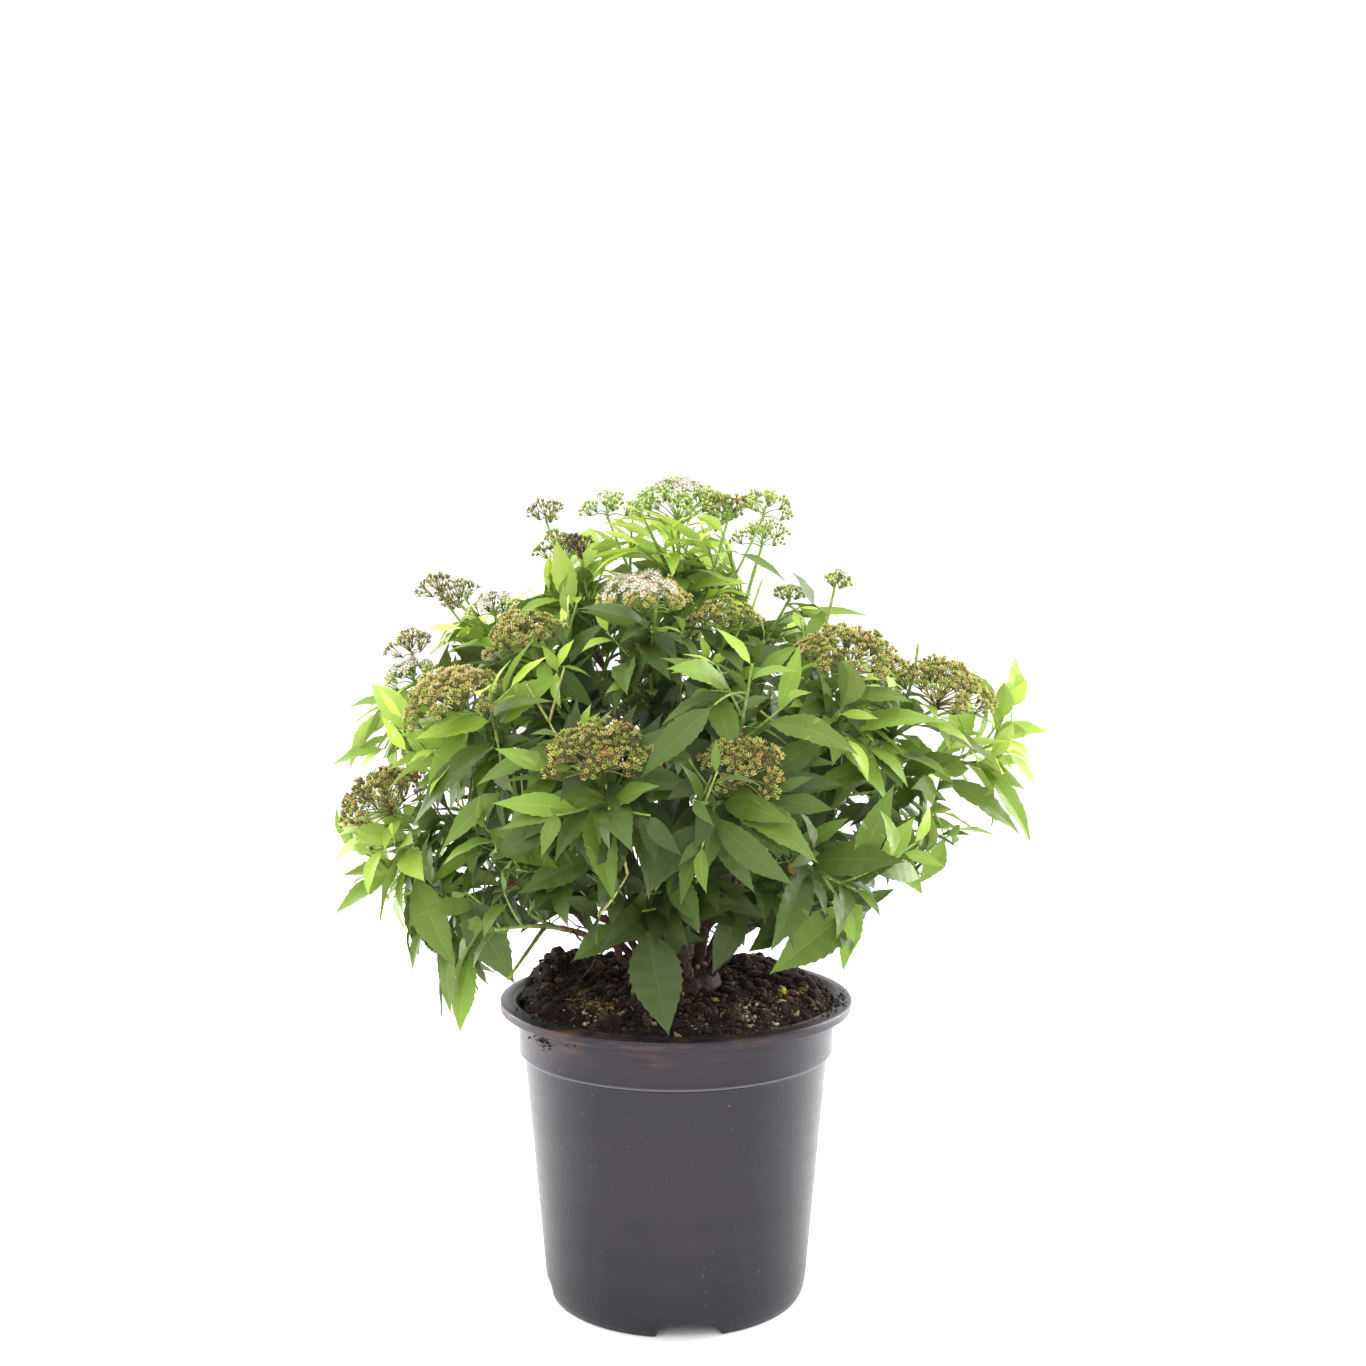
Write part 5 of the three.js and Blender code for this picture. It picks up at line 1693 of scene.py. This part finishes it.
# %% What the heads are like
TONES = {  # pods or petals, cup, stamens
    "straw": ("#c7bf69", "#7c8040", "#c4bc7c"),
    "tan": ("#d6c580", "#948f50", "#d6c890"),
    "olive": ("#999b44", "#636c2e", "#9f9d58"),
    "russet": ("#ba9050", "#80733e", "#b08c58"),
    "umber": ("#7b6c42", "#4e482b", "#857350"),
    "rose": ("#e6cb98", "#b3a96a", "#e6d0a8"),
    "moss": ("#a4b150", "#70853c", "#abb85e"),
    "bud_green": ("#b7ca72", "#8fab53", "#bfcf80"),
    "bud_lime": ("#d0df93", "#a9c166", "#d6e39c"),
    "cream": ("#f1ead8", "#c2cb92", "#f2e6c8"),
    "blush": ("#f2dccb", "#c2b78a", "#eacdb6"),
    "soot": ("#5b4a3c", "#40362b", "#5f5042"),
}
FLORET_SIZES = {  # radius, and how many there are in an umbel
    "pods": (1.85, 12),
    "bud": (1.6, 12),
    "open": (2.1, 11),
    "husk": (1.8, 10),
}
SEEDED_STALK, GREEN_STALK, DRY_STALK = range(3)  # numbers of finishes

# Each kind of head: the area that an umbel takes, how deep an umbel is, how far it stands up, its stalks, and
# then its florets from the middle out, each with the tones that are dealt out among them.
HEADS = {
    "seed": (21, 5.0, 0, SEEDED_STALK, "pods straw olive tan straw moss olive umber",
             "pods straw olive moss straw umber russet"),
    # The pale heads stand on the shoulders and the right side, where the lamps fall, and their lighter tones
    # are painted light.
    "pale": (21, 4.5, 0, SEEDED_STALK, "pods tan straw rose moss", "pods straw tan moss",
             "pods tan straw moss"),
    "rosy": (20, 4.5, 0, SEEDED_STALK, "pods rose tan rose straw", "pods rose straw tan",
             "pods straw tan straw moss"),
    "olive": (22, 4.5, 0, GREEN_STALK, "pods straw moss olive tan moss",
              "pods olive moss straw moss umber tan"),
    "fading": (19, 3.5, 0, GREEN_STALK, "open blush cream", "open cream blush", "open cream",
               "pods straw moss tan"),
    "bud": (26, 2.5, 0, GREEN_STALK, "bud bud_lime", "open cream", "bud bud_lime bud_green",
            "bud bud_green moss"),
    "bloom": (18, 2.5, 0, GREEN_STALK, "open cream", "open cream blush", "open cream", "open cream",
              "bud bud_lime straw"),
    "dry": (24, 5.0, 4, DRY_STALK, "husk umber soot umber olive"),
    "faded": (24, 5.0, 2, SEEDED_STALK, "husk olive umber tan straw", "husk olive straw umber"),
}  # fmt: skip
MIXING = 0.8  # how far one kind of floret strays among the next
BLOSSOM = np.random.default_rng(23)


# %% Umbels
STALK_LENGTH = 4.5
NECK_RADII, RAY_RADII, STALK_RADII = [0.8, 0.75, 0.65, 0.5], [0.5, 0.42, 0.36, 0.32, 0.3], [0.22, 0.18]


def umbels(head, room):
    """Where a head's umbels stand, which way they look, how far out they are, and how wide."""
    one, other, axis = frames([head.axis], TURN * BLOSSOM.random(1))[0]
    count = max(4, round(head.radius**2 / room))
    for i in range(count):
        share = 1.08 * math.sqrt((i + 0.5) / count)
        turn = i * GOLDEN_ANGLE + 0.5 * (BLOSSOM.random() - 0.5)
        out = one * math.cos(turn) + other * math.sin(turn)
        dome = head.radius * (0.4 - 0.5 * share**2.4) - 1.0 + 0.9 * BLOSSOM.normal()
        place = head.centre + out * share * head.radius + axis * dome
        yield place, unit(axis + 0.8 * share * out), share, 1.05 * head.radius / math.sqrt(count)


def umbel_florets(place, look, wide, deep, count):
    """The places and axes of an umbel's florets: a small dome, with a few more further down."""
    k = np.arange(count)
    out = np.sqrt((k + 0.5) / count)[:, None]
    one, other, _ = frames([look], TURN * BLOSSOM.random(1))[0]
    aside = np.outer(np.cos(k * GOLDEN_ANGLE), one) + np.outer(np.sin(k * GOLDEN_ANGLE), other)
    drop = BLOSSOM.random((count, 1)) ** 2
    tops = place + aside * wide * out * (1 - 0.4 * drop) + look * (1.2 - 2.6 * out**2 - deep * drop)
    return tops + 0.25 * BLOSSOM.normal(size=tops.shape), unit(look + 0.7 * aside * out)


# %% Build the heads
def build_heads():
    """The florets of every kind as rows of place, axis, size and tone, and all of the stalks."""
    florets = {name: [] for name in FLORETS}
    stems_of_heads = []
    for head in heads:
        room, deep, rise, finish, *kinds = HEADS[head.kind]
        for place, look, share, wide in umbels(head, room):
            place = place + rise * head.axis
            order = round(share * len(kinds) - 0.5 + MIXING * (BLOSSOM.random() - 0.5))
            name, *tones = kinds[min(max(order, 0), len(kinds) - 1)].split()
            radius, count = FLORET_SIZES[name]
            tops, axes = umbel_florets(place, look, wide, deep, count + BLOSSOM.integers(-1, 2))
            sizes = radius * (0.8 + 0.35 * BLOSSOM.random(len(tops)))
            numbers = [list(TONES).index(tone) for tone in tones]
            florets[name].append((tops, axes, sizes, BLOSSOM.choice(numbers, len(tops))))
            base = place - look * (STALK_LENGTH + deep)
            foot = head.tip + head.axis * head.radius * 0.3 * (1 - share)
            ray = arc(foot, foot + 0.45 * (base - foot) + head.axis * 2.5, base).at(np.linspace(0, 1, 5))
            bases = np.repeat([base], len(tops), axis=0)
            stems_of_heads.append(tube(ray, RAY_RADII, 5, finish))
            stems_of_heads.append(stalks(bases, tops - axes * 0.4, *STALK_RADII, finish))
        neck = Line([head.tip - 2 * head.axis, head.tip + 0.32 * head.radius * head.axis])
        stems_of_heads.append(tube(neck.at(np.linspace(0, 1, 4)), NECK_RADII, 6, finish))
    return florets, stems_of_heads


# %% [markdown]
# Dried pods are papery and petals are velvety. Both are matt and scatter light without a highlight, so they
# get a roughness of 0.8 and only a small variation of tone within each floret.

# %% Papery pods and petals
DARKER = 0.8


def darker(colour):
    return "#" + "".join(f"{int(int(colour[i : i + 2], 16) * DARKER):02x}" for i in (1, 3, 5))


florets, stems_of_heads = build_heads()
flower_nodes = ["mass_" + mass.stem.name for mass in masses if mass.heads]
parts = ("petal", "cup", "stamen")
floret_finishes = [
    mottled(f"{part}_{tone}", darker(colour), colour, 1.6, 0.1, 0.8)
    for tone, colours in TONES.items()
    for part, colour in zip(parts, colours)
]
for name, groups in florets.items():
    places, axes, sizes, tones = (np.concatenate(column) for column in zip(*groups))
    used = sorted(set(tones))
    worn = [floret_finishes[3 * tone + i] for tone in used for i in range(3)]
    shift = 3 * np.array([used.index(tone) for tone in tones])
    whole = set_out(FLORETS[name], places, axes, sizes, TURN * BLOSSOM.random(len(places)), shift)
    joined_piece("florets_" + name, [whole], worn, flower_nodes)
stalk_finishes = [
    mottled("seed_head_stalk", "#6b6a38", "#8f8a50", 1.0, 0.1, 0.65),
    mottled("green_head_stalk", "#6f8a3c", "#93a854", 1.0, 0.1, 0.6),
    mottled("dry_head_stalk", "#4d3f31", "#6f5f49", 1.0, 0.1, 0.8),
]
joined_piece("head_stalks", stems_of_heads, stalk_finishes, flower_nodes)

# %% [markdown]
# ## The size
#
# The box of the finished plant is printed beside the box of its solids, in millimetres. The finished plant
# has to stay in the box of its solids, give or take a few per cent.

# %% Keep both boxes and finish
boxes = {"cad": [list(corner) for corner in cad_box], "visual": [list(corner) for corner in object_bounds()]}
print("boxes in mm:", {name: [[round(c / MM, 1) for c in p] for p in box] for name, box in boxes.items()})
